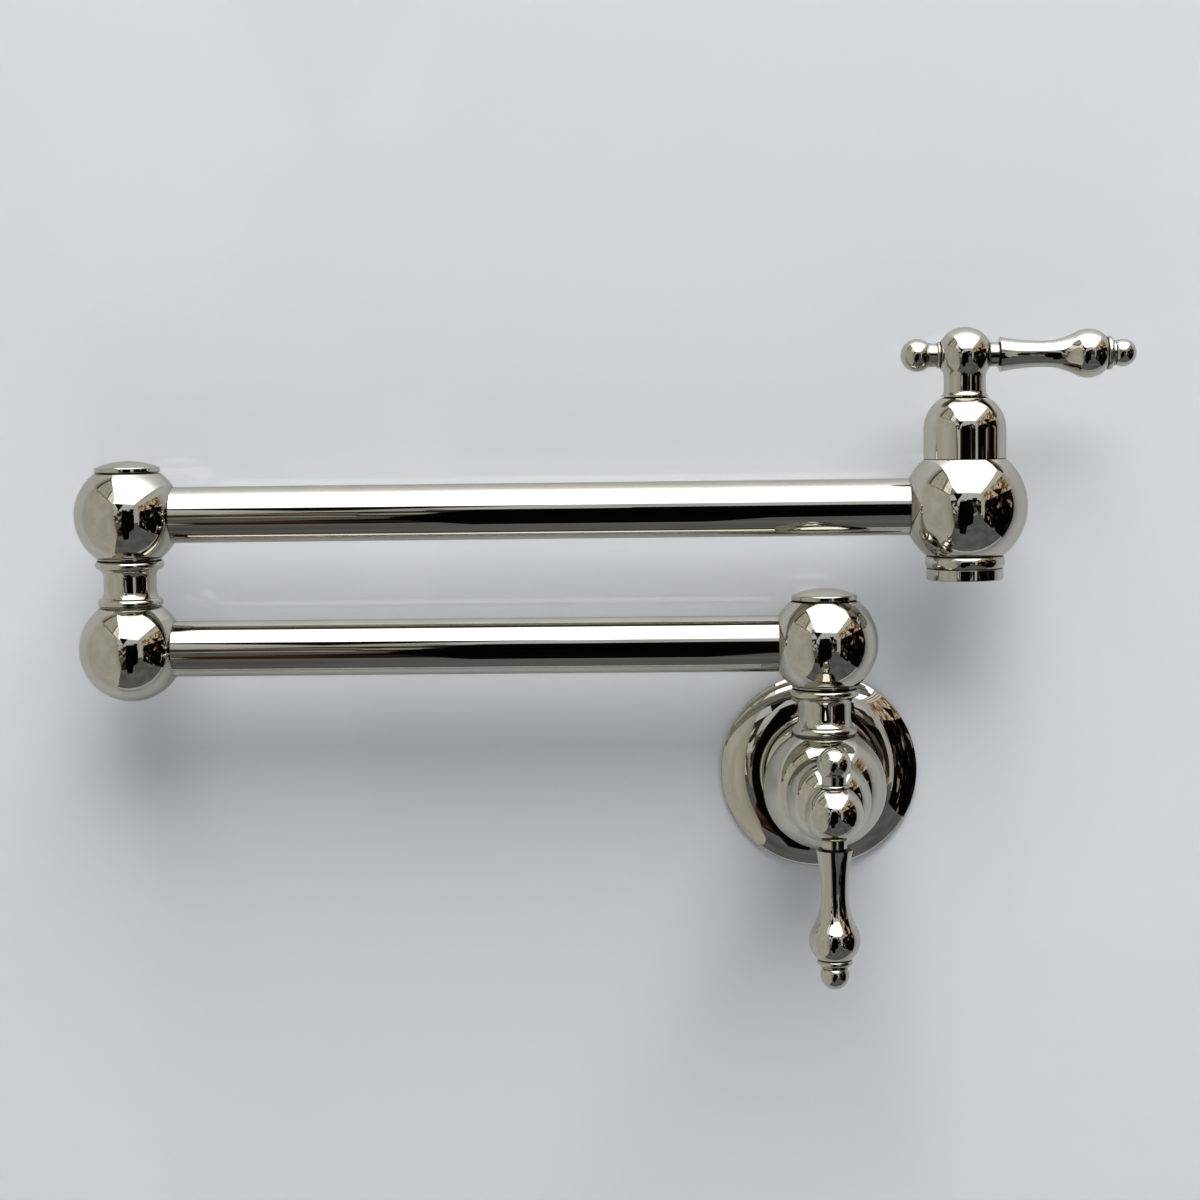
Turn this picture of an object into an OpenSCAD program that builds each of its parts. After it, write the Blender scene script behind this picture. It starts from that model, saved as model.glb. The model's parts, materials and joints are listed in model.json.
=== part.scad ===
// Wall-mounted pot filler: two swinging arms on ball joints, and a quarter-turn valve at each end.
// The origin is the centre of the wall face. +X is right, +Z is up, and the room is on the -Y side.
// The arms are drawn folded: the lower one runs left from the shoulder, and the upper one back over it.

/* [Arms] */
// Distance from the wall to the plane of the arms
wall_to_arms = 40; // [38:0.5:60]
// Lower arm, from the shoulder's centre to the elbow's
lower_reach = 235; // [160:1:320]
// Upper arm, from the elbow's centre to the end valve's
upper_reach = 282; // [160:1:380]
// Outside diameter of both tubes
tube_d = 19; // [18:0.1:20]
// Wall of both tubes
tube_wall = 1.5; // [1:0.1:2]

/* [Ball joints] */
// Diameter of the two balls that turn
joint_ball_d = 36.3; // [35.8:0.1:39]
// Diameter of the fixed ball at the foot of the elbow
base_ball_d = 35.6; // [34.6:0.1:39]
// Distance from a turning ball's centre down to its flat land
joint_seat = 14.8; // [14.8:0.1:15.4]
// Diameter of the flat land below a turning ball
land_d = 22; // [21.6:0.1:22.6]
// Height of the neck between two balls
neck_h = 15.9; // [15.6:0.1:20]
// Diameter of a neck's waist
neck_waist_d = 17.8; // [17:0.1:18.4]
// Diameter of a neck's lower bead
lower_bead_d = 22.1; // [21.8:0.1:23]
// Diameter of a neck's upper bead
upper_bead_d = 23.4; // [23:0.1:24.4]
// Diameter of a neck's hollow spindle
spindle_d = 12.9; // [12.5:0.1:13.3]
// Diameter of the waterway up a neck
waterway_d = 7.2; // [6:0.1:7.6]
// Diameter of a joint's cap
cap_d = 22; // [21.4:0.1:22.8]
// Height of a joint's cap above its ball
cap_h = 4.4; // [4:0.1:6]

/* [Valves] */
// Diameter of both valve balls
valve_ball_d = 41.7; // [41:0.1:46]
// Diameter of a bonnet
bonnet_d = 27.4; // [27:0.1:29]
// Height of a bonnet's straight side
bonnet_side_h = 10; // [9:0.1:12]
// Radius of a bonnet's dome
dome_r = 12; // [11.8:0.1:12.6]
// Diameter of the bore that a cartridge screws into
chamber_d = 19; // [18.6:0.1:19.6]
// Diameter of a cartridge's stem
stem_d = 7.3; // [6.6:0.1:7.6]
// Diameter of the two ceramic discs
disc_d = 13.9; // [13.5:0.1:14.1]
// Thickness of each ceramic disc
disc_t = 2.2; // [2:0.1:2.5]

/* [Handles] */
// Distance from a valve ball's centre to its handle's centre
handle_height = 50.25; // [49.5:0.25:56]
// Diameter of a handle's ball
hub_d = 18.5; // [18:0.1:20]
// Diameter of a handle's neck
hub_neck_d = 13.9; // [13.4:0.1:14.4]
// Diameter of a finial's ball
finial_d = 10.9; // [10:0.1:12]
// Distance from a handle's centre to its finial's centre
finial_reach = 15.85; // [15.5:0.05:20]
// Diameter of a lever's slim part
lever_waist_d = 8.7; // [8:0.1:9.4]
// Diameter of a lever's swelling
lever_bulge_d = 16.3; // [15:0.1:18]
// Distance from a handle's centre to its lever's swelling
lever_bulge_reach = 40.6; // [38:0.2:50]
// Diameter of the ball at a lever's tip
lever_tip_d = 9.2; // [8.6:0.1:10.4]

/* [Outlet] */
// Diameter of the rounded outlet ring
outlet_ring_d = 26.6; // [26:0.1:28]
// Diameter of the aerator's housing
aerator_d = 25.6; // [25:0.1:27]
// Height of the aerator's housing
aerator_h = 3.8; // [3.6:0.1:6]
// Rings of holes in the aerator's insert
aerator_rings = 3; // [1:1:3]

/* [Wall plate] */
// Diameter of the escutcheon
escutcheon_d = 69; // [68:0.5:76]
// Diameter of the bead round the escutcheon's crown
cover_bead_d = 42.2; // [41:0.2:44]
// Depth of the escutcheon from the wall
escutcheon_depth = 12; // [11.5:0.5:15]
// Inside diameter of the inlet's thread
inlet_thread_d = 18.6; // [17.5:0.1:19]
// Depth of the inlet's thread
inlet_thread_h = 14; // [10:0.5:16]
// Diameter of the circle of wall screws
wall_screw_circle_d = 42; // [41:0.5:44]
// Diameter of the wall screw holes
wall_screw_hole_d = 4.5; // [4:0.1:5]
// Number of wall screws
wall_screws = 3; // [2:1:6]

/* [Fits] */
// Radial clearance of pieces that are fixed together
slip = 0.05; // [0.03:0.01:0.08]
// Radial clearance of pieces that turn in each other
running = 0.05; // [0.03:0.01:0.08]
// Height of the open line between a neck and the ball that turns on it
swivel_gap = 0.35; // [0.3:0.05:0.5]
// Height of the open line under a cap, under a handle and at the outlet ring
shadow_gap = 0.3; // [0.25:0.05:0.5]

/* [Hidden] */
$fn = 96;
through = 1; // how far a cut runs past the face that it opens
tube_r = tube_d / 2;
tube_bore_r = tube_r - tube_wall;
joint_r = joint_ball_d / 2;
base_r = base_ball_d / 2;
valve_r = valve_ball_d / 2;
socket_depth = 2.4; // least depth of a tube in its ball

// Rubber rings
cord_d = 1.3;
stem_cord_d = 0.9;
groove_play = 0.3; // how much wider a groove is than its ring
ring_relief = 0.1; // how far a ring stays inside the piece that turns with it

// Joint: the land and cap of the ball, and what is inside
land_r = land_d / 2;
cap_r = cap_d / 2;
cap_ledge = 0.4;
cap_seat = half_chord(joint_r, cap_r + cap_ledge);
spindle_r = spindle_d / 2;
waterway_r = waterway_d / 2;
spindle_top = 10.3;
upper_ring_z = 8.6;
lower_ring_z = -10.6;
joint_chamber_r = 10.3;
joint_chamber_h = 14;
tenon_r = 7.5;
tenon_l = 5;
tenon_room = 0.4;
washer_r = 9.2;
washer_t = 0.85;
retainer_r = 8;
retainer_t = 1;
retainer_room = 0.1;
pocket_r = retainer_r + 0.5;
screw_r = 2.5;
screw_l = 6;
screw_head_r = 4.2;
screw_head_h = 1.9;
screw_key_r = 1.75;

// Neck: two beads, a waist, and the foot that sits on the ball below
low_bead_r = 1.6;
high_bead_r = 1.45;
neck_foot_r = lower_bead_d / 2 - 0.7;
neck_cove = 2.8;
neck_flare = 5;
neck_quirk = 0.85; // how far the waist flares before it meets the lower bead

// Heights of the balls, from the valve on the wall up
neck_rise = neck_h + swivel_gap + joint_seat;
valve_neck_seat = half_chord(valve_r, neck_foot_r);
base_neck_seat = half_chord(base_r, neck_foot_r);
shoulder_z = valve_neck_seat + neck_rise;
elbow_z = shoulder_z + base_neck_seat + neck_rise;

// Valve levels, measured from the ball's centre along the cartridge
bonnet_r = bonnet_d / 2;
bonnet_seat = half_chord(valve_r, bonnet_r);
dome_angle = 60;
bonnet_top = bonnet_seat + bonnet_side_h + dome_r * sin(dome_angle);
chamber_r = chamber_d / 2;
chamber_floor = -7;
port_r = 5;
disc_r = disc_d / 2;
seal_t = 1.8;
fixed_disc_z = chamber_floor + seal_t;
disc_gap = 0.05;
moving_disc_z = fixed_disc_z + disc_t + disc_gap;
disc_relief = 0.3; // how much smaller the moving disc is than the fixed one
slot_w = 3.4;
slot_depth = 0.9;
stem_r = stem_d / 2;
stem_foot = 2;
stem_collar = 1.6;
stem_ring_drop = 6;
spline_r = stem_r - 0.25;
stem_top = handle_height - 6;

// Cartridge housing
housing_foot = chamber_floor + 1;
housing_r = chamber_r - 0.9;
thread_foot = 6;
window_r = 2.3;
window_z = 3.2;
hexagon_r = 11.9;
hexagon_h = 3;
bonnet_thread_l = 8.3;
bonnet_thread_top = bonnet_seat + hexagon_h + bonnet_thread_l;
housing_neck_r = 6;
housing_neck_l = 4;
housing_top = bonnet_thread_top + housing_neck_l;
cartridge_ring_drop = 2;

// Handle
hub_r = hub_d / 2;
hub_neck_r = hub_neck_d / 2;
skirt_depth = 2;
hub_foot = bonnet_top + shadow_gap;
hub_skirt_foot = bonnet_top - skirt_depth;
hub_flat_r = 4.5;
hub_seat = half_chord(hub_r, hub_flat_r);
stud_r = 2.2;
stud_l = 3.6;
stud_room = 0.3;
arm_neck_r = 4; // the lever's and the finial's neck where they meet the hub
grub_r = 2;
grub_key_r = 1;
grub_recess = 0.4;
hub_grub_z = hub_foot + 3.6;

// Outlet, measured down from the ball's centre
outlet_seat = 16.2;
outlet_pipe_r = 10;
outlet_pipe_l = 4;
outlet_thread_r = 8.6;
aerator_seam = 0.5;
aerator_z = outlet_seat + outlet_pipe_l + aerator_seam;
aerator_bore_r = outlet_thread_r - 1.6;
aerator_seat_r = outlet_thread_r + 0.8;
aerator_floor = aerator_z + 0.8;
aerator_seal_t = 0.7;

// Wall plate, measured from the wall
escutcheon_r = escutcheon_d / 2;
inlet_r = inlet_thread_d / 2;
shank_r = 11.8;
gasket_t = 1;
gasket_w = 4.5;
shell_t = 1.6;
flange_t = 3;
flange_r = wall_screw_circle_d / 2 + 6;
flange_grub_r = 1.5;
flange_grub_key_r = 0.85;
collar_r = 15.5;
collar_room = 0.5;

// Escutcheon: its dome is a steep arc and a flat one, and inside the bead a smaller crown rises to the neck
rim_h = 1.4;
rim_edge = 0.5;
rim_tilt = 42;
break_tilt = 19;
flat_tilt = 3;
steep_share = 0.4; // how much of the dome's width the steep arc takes
bead_round = 0.85;
bead_quirk = 0.35; // width and depth of the line outside the bead
bead_r = cover_bead_d / 2;
dome_foot = [escutcheon_r - rim_edge * (1 - sin(rim_tilt)), gasket_t + rim_h + rim_edge * cos(rim_tilt)];
dome_w = dome_foot[0] - bead_r - bead_quirk;
steep_round = steep_share * dome_w / (sin(rim_tilt) - sin(break_tilt));
flat_round = (1 - steep_share) * dome_w / (sin(break_tilt) - sin(flat_tilt));
dome_break = dome_foot + steep_round * [sin(break_tilt) - sin(rim_tilt), cos(break_tilt) - cos(rim_tilt)];
dome_z = dome_break[1] + flat_round * (cos(flat_tilt) - cos(break_tilt));
crown_foot_r = bead_r - 2 * bead_round;
crown_tilt = 38;
crown_flat_tilt = 5;
cover_neck_r = 14.4;
cover_neck_fillet = 0.5;
cover_edge = 0.3;
crown_round = (crown_foot_r - cover_neck_r - cover_neck_fillet) / (sin(crown_tilt) - sin(crown_flat_tilt));
crown_z = dome_z + crown_round * (cos(crown_flat_tilt) - cos(crown_tilt));
cover_back = crown_z - shell_t;
cover_ring_z = (cover_back + escutcheon_depth) / 2;
collar_h = cover_back - collar_room;

nickel = "#c9c3b6";
brass = "#b9965a";
steel = "#9a9da0";
rubber = "#26272a";
ceramic = "#ece9e2";
nylon = "#dcdcd6";

// Half of the chord of a circle of radius r, at the distance d from its centre
function half_chord(r, d) = sqrt(r * r - d * d);

// Points along an arc round the centre c, from the angle a to the angle b
function arc(c, r, from, to, n = 8) = [
    for (i = [0:n])
        let (angle = from + (to - from) * i / n)
            c + r * [cos(angle), sin(angle)]
];

// Distance from a ball's centre to the start of the straight neck that a fillet joins to the ball
function neck_start(ball, neck, fillet) = half_chord(ball + fillet, neck + fillet);

// Outline of a neck that comes up to a ball at the height z, through a fillet, and round to the angle b
function neck_to_ball(z, ball, neck, fillet, b, n = 10) =
    let (start = neck_start(ball, neck, fillet), join = atan2(start, neck + fillet))
    concat(
        arc([neck + fillet, z - start], fillet, 180, 180 - join, n),
        arc([0, z], ball, -join, b, n)
    );

// A solid of revolution about +Z, from its outline of radius and height
module turned(outline) rotate_extrude() polygon(outline);

module bore(r, z, h) translate([0, 0, z]) cylinder(r = r, h = h);

module hexagon(r, z, h) translate([0, 0, z]) cylinder(r = r, h = h, $fn = 6);

module ring(outer, inner, z, h) {
    difference() {
        bore(outer, z, h);
        bore(inner, z - through, h + 2 * through);
    }
}

// A rubber ring that fills its groove out to the radius outer
module o_ring(outer, z, cord = cord_d) {
    translate([0, 0, z]) rotate_extrude() translate([outer - cord / 2, 0]) circle(d = cord, $fn = 32);
}

module o_ring_groove(outer, z, cord = cord_d) {
    w = cord + groove_play;
    ring(outer + through, outer - cord - ring_relief - slip, z - w / 2, w);
}

// The part of a ball between two flat cuts
module cut_ball(r, low, high) {
    intersection() {
        sphere(r = r);
        bore(r + through, low, high - low);
    }
}

// Places
module at_wall() rotate([90, 0, 0]) children();
module at_wall_valve() translate([0, -wall_to_arms, 0]) rotate([90, 0, 0]) children();
module at_wall_handle() at_wall_valve() rotate([0, 0, -90]) children();
module at_shoulder() translate([0, -wall_to_arms, shoulder_z]) children();
module at_elbow_lower() translate([-lower_reach, -wall_to_arms, shoulder_z]) children();
module at_elbow_upper() translate([-lower_reach, -wall_to_arms, elbow_z]) children();
module at_end_valve() translate([upper_reach - lower_reach, -wall_to_arms, elbow_z]) children();
module at_outlet() at_end_valve() rotate([180, 0, 0]) children();
module facing_left() rotate([0, 0, 180]) children();

// Joint pieces, drawn round the centre of the ball that turns

// Distance from a ball's centre to the end of the tube in it
function tube_seat(ball) = half_chord(ball, tube_r) - socket_depth;

// The socket that holds a tube in a ball, and the waterway behind it, on the +X side
module tube_socket(ball) {
    rotate([0, 90, 0]) {
        bore(tube_r + slip, tube_seat(ball), ball);
        bore(tube_bore_r, 0, ball);
    }
}

module swivel_ball() {
    ball_h = joint_seat + cap_seat;
    color(nickel) difference() {
        union() {
            cut_ball(joint_r, -joint_seat, cap_seat);
            bore(land_r, -joint_seat, joint_seat);
        }
        bore(spindle_r + running, -joint_seat - through, ball_h);
        bore(joint_chamber_r, -joint_chamber_h / 2, joint_chamber_h);
        bore(pocket_r, spindle_top - retainer_room, cap_seat);
        bore(washer_r + shadow_gap, -joint_seat - through, through + washer_t - swivel_gap + shadow_gap);
        tube_socket(joint_r);
    }
}

// The fixed ball at the elbow's foot, with a flat seat for the neck
module base_ball() {
    color(nickel) difference() {
        cut_ball(base_r, -base_r, base_neck_seat);
        bore(tenon_r + slip, base_neck_seat - tenon_l - tenon_room, tenon_l + tenon_room + through);
        bore(port_r, 0, base_neck_seat);
        tube_socket(base_r);
    }
}

// Outline of a neck from its foot to its top: bead, flared waist, cove and bead
function neck_outline(base, top) =
    let (
        waist_r = neck_waist_d / 2,
        low_r = lower_bead_d / 2 - low_bead_r,
        high_r = upper_bead_d / 2 - high_bead_r,
        quirk_r = waist_r + neck_quirk,
        quirk_angle = acos((quirk_r - low_r) / low_bead_r),
        quirk_z = base + low_bead_r * (1 + sin(quirk_angle)),
        flare_angle = acos(1 - neck_quirk / neck_flare),
        cove_x = waist_r + neck_cove - high_r,
        cove_drop = half_chord(high_bead_r + neck_cove, cove_x),
        cove_angle = atan2(cove_drop, cove_x)
    )
    concat(
        [[0, base], [neck_foot_r, base]],
        arc([low_r, base + low_bead_r], low_bead_r, -50, quirk_angle, 12),
        arc([waist_r + neck_flare, quirk_z + neck_flare * sin(flare_angle)], neck_flare,
            180 + flare_angle, 180),
        arc([waist_r + neck_cove, top - high_bead_r - cove_drop], neck_cove, 180, 180 - cove_angle),
        arc([high_r, top - high_bead_r], high_bead_r, -cove_angle, 62, 12),
        [[high_r, top], [0, top]]
    );

// The turned neck under a swivel ball, with the hollow spindle that carries the ball
module neck() {
    top = -joint_seat - swivel_gap;
    base = top - neck_h;
    tenon_foot = base - tenon_l;
    cross_port_r = waterway_r * 0.7;
    waterway_top = cross_port_r + 0.5;
    color(nickel) difference() {
        union() {
            turned(neck_outline(base, top));
            bore(spindle_r, top - through, spindle_top - top + through);
            bore(tenon_r, tenon_foot, tenon_l + through);
        }
        bore(waterway_r, tenon_foot - through, waterway_top - tenon_foot + through);
        for (turn = [0, 90])
            rotate([90, 0, turn]) bore(cross_port_r, -spindle_d, 2 * spindle_d);
        bore(screw_r + slip, spindle_top - screw_l, screw_l + through);
        o_ring_groove(spindle_r, upper_ring_z);
        o_ring_groove(spindle_r, lower_ring_z);
    }
}

module neck_o_rings() {
    color(rubber) {
        o_ring(spindle_r - ring_relief, upper_ring_z);
        o_ring(spindle_r - ring_relief, lower_ring_z);
    }
}

module thrust_washer() {
    color(nylon) ring(washer_r, spindle_r + running, -joint_seat - swivel_gap, washer_t);
}

module retainer() color(steel) ring(retainer_r, screw_r + slip, spindle_top, retainer_t);

module retaining_screw() {
    head = spindle_top + retainer_t;
    tip = spindle_top - screw_l + tenon_room;
    color(steel) difference() {
        union() {
            bore(screw_r, tip, head - tip);
            bore(screw_head_r, head, screw_head_h);
        }
        hexagon(screw_key_r, head + screw_head_h / 4, screw_head_h);
    }
}

// A domed cap with a spigot that pushes into the ball's pocket
module joint_cap() {
    foot = cap_seat + shadow_gap;
    top = cap_seat + cap_h;
    edge = 0.6;
    crown = 2.1;
    crown_r = (pow(cap_r - edge, 2) + crown * crown) / (2 * crown);
    crown_angle = acos((cap_r - edge) / crown_r);
    spigot_bore_r = screw_head_r + 1;
    spigot_foot = spindle_top + retainer_t + 0.6;
    outline = concat(
        [[spigot_bore_r, spigot_foot], [pocket_r - slip, spigot_foot], [pocket_r - slip, foot]],
        arc([cap_r - edge, foot + edge], edge, -90, 0, 6),
        arc([cap_r - edge, top - crown - edge * sin(crown_angle)], edge, 0, crown_angle, 6),
        arc([0, top - crown_r], crown_r, crown_angle, 90, 16),
        [[0, foot + 1], [spigot_bore_r, foot + 1]]
    );
    color(nickel) turned(outline);
}

module tube(seat_from, seat_to) {
    color(nickel) rotate([0, 90, 0]) ring(tube_r, tube_bore_r, seat_from, seat_to - seat_from);
}

module lower_arm_tube() tube(tube_seat(base_r), lower_reach - tube_seat(joint_r));

module upper_arm_tube() tube(tube_seat(joint_r), upper_reach - tube_seat(valve_r));

// Valve pieces, drawn round the centre of their ball with the cartridge along +Z

module valve_chamber() {
    bore(chamber_r, chamber_floor, bonnet_seat - chamber_floor + through);
    bore(port_r, -valve_r, valve_r);
}

// The ball on the wall: a shank with the inlet's thread behind, and a seat for the shoulder's neck
module wall_body() {
    inlet_port_r = port_r + 1;
    inlet_port_top = chamber_floor - 4;
    color(nickel) difference() {
        union() {
            intersection() {
                cut_ball(valve_r, -valve_r, bonnet_seat);
                rotate([-90, 0, 0]) bore(valve_r + through, -valve_r, valve_r + valve_neck_seat);
            }
            bore(shank_r, -wall_to_arms, wall_to_arms - valve_r / 2);
        }
        valve_chamber();
        bore(inlet_r, -wall_to_arms - through, inlet_thread_h + through);
        bore(inlet_port_r, -wall_to_arms, wall_to_arms + inlet_port_top);
        rotate([-90, 0, 0]) {
            bore(tenon_r + slip, valve_neck_seat - tenon_l - tenon_room, tenon_l + tenon_room + through);
            bore(port_r, 0, valve_neck_seat);
        }
    }
}

// The ball at the end of the upper arm: a tube on its -X side, and a short threaded pipe below
module end_body() {
    thread_relief = 3;
    color(nickel) difference() {
        union() {
            cut_ball(valve_r, -outlet_seat, bonnet_seat);
            bore(outlet_pipe_r, -outlet_seat - outlet_pipe_l, outlet_seat);
        }
        valve_chamber();
        bore(outlet_thread_r, -outlet_seat - outlet_pipe_l - through, outlet_pipe_l + through + thread_relief);
        facing_left() tube_socket(valve_r);
    }
}

module seat_seal() color(rubber) ring(port_r + 1.6, port_r - 0.6, chamber_floor, seal_t);

// Two opposite sector openings through a ceramic disc
module disc_ports(z) {
    span = 64;
    inner = 1.9;
    outer = disc_r - 2;
    for (side = [0, 180])
        rotate([0, 0, side - span / 2])
            translate([0, 0, z - through])
                rotate_extrude(angle = span)
                    translate([inner, 0]) square([outer - inner, disc_t + 2 * through]);
}

module fixed_disc() {
    color(ceramic) difference() {
        bore(disc_r, fixed_disc_z, disc_t);
        rotate([0, 0, 90]) disc_ports(fixed_disc_z);
    }
}

module moving_disc() {
    color(ceramic) difference() {
        bore(disc_r - disc_relief, moving_disc_z, disc_t);
        disc_ports(moving_disc_z);
        translate([-slot_w / 2, -disc_r, moving_disc_z + disc_t - slot_depth])
            cube([slot_w, 2 * disc_r, slot_depth + through]);
    }
}

// A stem with a cross bar that turns the moving disc, a collar that keeps it in, and a splined top
module stem() {
    bar_foot = moving_disc_z + disc_t - slot_depth + slip;
    bar_r = disc_r - 2 * disc_relief;
    bar_w = slot_w - 2 * slip;
    color(brass) difference() {
        union() {
            intersection() {
                bore(bar_r, bar_foot, stem_foot - bar_foot);
                translate([-bar_w / 2, -disc_r, bar_foot]) cube([bar_w, 2 * disc_r, stem_foot - bar_foot]);
            }
            bore(stem_r + stem_collar, stem_foot, thread_foot - stem_foot - retainer_room);
            bore(stem_r, stem_foot, housing_top - stem_foot);
            bore(spline_r, housing_top, stem_top - housing_top);
        }
        o_ring_groove(stem_r, housing_top - stem_ring_drop, stem_cord_d);
    }
}

module stem_o_ring() color(rubber) o_ring(stem_r - ring_relief, housing_top - stem_ring_drop, stem_cord_d);

// The brass housing: discs in its foot, water windows, thread, hexagon and bonnet thread
module cartridge() {
    disc_chamber_r = disc_r + slip;
    ring_z = bonnet_seat - cartridge_ring_drop;
    color(brass) difference() {
        union() {
            bore(housing_r, housing_foot, bonnet_thread_top - housing_foot);
            bore(housing_neck_r, housing_foot, housing_top - housing_foot);
            bore(chamber_r - slip, thread_foot, bonnet_seat - thread_foot + through);
            hexagon(hexagon_r, bonnet_seat, hexagon_h);
        }
        bore(disc_chamber_r, housing_foot - through, thread_foot - housing_foot + through);
        bore(stem_r + running, thread_foot - through, housing_top - thread_foot + 2 * through);
        for (turn = [0, 90])
            rotate([90, 0, turn]) translate([0, window_z, 0]) bore(window_r, -chamber_r, chamber_d);
        o_ring_groove(chamber_r - slip, ring_z);
    }
}

module cartridge_o_ring() color(rubber) o_ring(chamber_r - slip, bonnet_seat - cartridge_ring_drop);

// The domed bonnet, screwed down over the cartridge
module bonnet() {
    inner_r = hexagon_r + 0.3;
    ledge = bonnet_seat + hexagon_h + 3;
    chamfer = 0.25;
    mouth_r = hub_neck_r + shadow_gap;
    mouth_foot = housing_top + 0.4;
    outline = concat(
        [[inner_r, bonnet_seat], [bonnet_r - chamfer, bonnet_seat], [bonnet_r, bonnet_seat + chamfer]],
        arc([bonnet_r - dome_r, bonnet_seat + bonnet_side_h], dome_r, 0, dome_angle, 14),
        [
            [mouth_r, bonnet_top], [mouth_r, mouth_foot],
            [housing_neck_r + slip, mouth_foot], [housing_neck_r + slip, bonnet_thread_top],
            [housing_r + slip, bonnet_thread_top], [housing_r + slip, ledge], [inner_r, ledge]
        ]
    );
    color(nickel) turned(outline);
}

// The ball of a handle, with a neck that drops into the bonnet and flats for the lever and the finial
module hub() {
    lip = 0.4;
    flare = 2;
    flare_angle = 57;
    foot_r = hub_neck_r + flare * (1 - cos(flare_angle));
    outline = concat(
        [[0, hub_skirt_foot], [hub_neck_r, hub_skirt_foot], [hub_neck_r, hub_foot], [foot_r, hub_foot]],
        arc([hub_neck_r + flare, hub_foot + lip + flare * sin(flare_angle)], flare, 180 + flare_angle, 180),
        neck_to_ball(handle_height, hub_r, hub_neck_r, 3, 90, 14)
    );
    color(nickel) difference() {
        turned(outline);
        bore(spline_r + slip, hub_skirt_foot - through, stem_top + retainer_room - hub_skirt_foot + through);
        translate([0, 0, handle_height])
            for (side = [-90, 90])
                rotate([0, side, 0]) {
                    bore(hub_r, hub_seat, hub_r);
                    bore(stud_r + slip, hub_seat - stud_l - stud_room, hub_r);
                }
        at_hub_grub() bore(grub_r + slip, 0, hub_r);
    }
}

// The place of the screw that holds a hub on its stem, across the lever
module at_hub_grub() translate([0, 0, hub_grub_z]) rotate([-90, 0, 0]) children();

module hub_grub_screw() {
    end = hub_neck_r - grub_recess;
    color(steel) at_hub_grub() difference() {
        bore(grub_r, spline_r, end - spline_r);
        hexagon(grub_key_r, end - 1.2, hub_r);
    }
}

// A turned lever along +X: neck, collar, long waist, swelling, ring and ball
module lever() {
    collar_x = hub_seat + 3.4;
    notch = 0.4;
    waist_r = lever_waist_d / 2;
    bulge_r = lever_bulge_d / 2;
    tip_r = lever_tip_d / 2;
    taper_r = 70;
    swell_fillet = 22;
    waist_x = lever_bulge_reach - neck_start(bulge_r, waist_r, swell_fillet);
    taper_angle = asin((waist_x - collar_x) / taper_r);
    ring_r = tip_r + 1.05;
    ring_half = 1.1;
    ring_x = lever_bulge_reach + half_chord(bulge_r, ring_r);
    step_r = tip_r - 0.3;
    step_x = ring_x + 2 * ring_half;
    step_l = 0.7;
    tip_neck_r = step_r - 0.5;
    tip_x = step_x + step_l + half_chord(tip_r, tip_neck_r);
    outline = concat(
        [[0, hub_seat - stud_l], [stud_r, hub_seat - stud_l], [stud_r, hub_seat]],
        [[arm_neck_r, hub_seat], [arm_neck_r, collar_x - 0.5]],
        [[arm_neck_r - notch, collar_x - notch], [arm_neck_r - notch, collar_x]],
        arc([waist_r + taper_r, waist_x], taper_r, 180 + taper_angle, 180, 10),
        neck_to_ball(lever_bulge_reach, bulge_r, waist_r, swell_fillet, acos(ring_r / bulge_r), 16),
        arc([ring_r - ring_half, ring_x + ring_half], ring_half, -60, 90),
        [[step_r, step_x], [step_r, step_x + step_l]],
        arc([0, tip_x], tip_r, -acos(tip_neck_r / tip_r), 90, 14)
    );
    color(nickel) translate([0, 0, handle_height]) rotate([0, 90, 0]) turned(outline);
}

// A turned finial along -X: ring, neck and ball
module finial() {
    ring_r = 4.45;
    ring_half = 0.6;
    fillet = 0.5;
    outline = concat(
        [[0, hub_seat - stud_l], [stud_r, hub_seat - stud_l], [stud_r, hub_seat]],
        arc([ring_r - ring_half, hub_seat + ring_half], ring_half, -90, 90),
        neck_to_ball(finial_reach, finial_d / 2, arm_neck_r, fillet, 90, 14)
    );
    color(nickel) translate([0, 0, handle_height]) rotate([0, -90, 0]) turned(outline);
}

// Outlet pieces, drawn with +Z pointing down the outlet

module outlet_band() {
    foot = outlet_seat + shadow_gap;
    h = outlet_pipe_l + aerator_seam - 2 * shadow_gap;
    swell = 0.6;
    round_r = (h * h / 4 + swell * swell) / (2 * swell);
    half_angle = asin(h / 2 / round_r);
    outline = concat(
        [[outlet_pipe_r + slip, foot]],
        arc([outlet_ring_d / 2 - round_r, foot + h / 2], round_r, -half_angle, half_angle),
        [[outlet_pipe_r + slip, foot + h]]
    );
    color(nickel) turned(outline);
}

module aerator_shell() {
    r = aerator_d / 2;
    end = aerator_z + aerator_h;
    thread_top = outlet_seat - 2;
    edge = 0.4;
    outline = concat(
        [[aerator_bore_r, thread_top], [outlet_thread_r - slip, thread_top]],
        [[outlet_thread_r - slip, aerator_z], [r - edge / 2, aerator_z], [r, aerator_z + edge / 2]],
        arc([r - edge, end - edge], edge, 0, 90, 4),
        [[aerator_seat_r, end], [aerator_seat_r, aerator_floor], [aerator_bore_r, aerator_floor]]
    );
    color(nickel) turned(outline);
}

module aerator_seal() {
    color(rubber) ring(aerator_seat_r - slip, aerator_bore_r, aerator_floor, aerator_seal_t);
}

// The insert: rings of round holes round a centre hole
module aerator_core() {
    z = aerator_floor + aerator_seal_t;
    h = aerator_z + aerator_h - z - 0.5;
    pitch = 2.5;
    hole_r = 0.85;
    color(nylon) difference() {
        bore(aerator_seat_r - slip, z, h);
        bore(hole_r, z - through, h + 2 * through);
        for (k = [1:aerator_rings], i = [1:6 * k])
            rotate([0, 0, i * 60 / k])
                translate([k * pitch, 0, 0]) bore(hole_r, z - through, h + 2 * through);
    }
}

// Wall plate pieces, drawn with +Z pointing from the wall into the room

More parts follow.
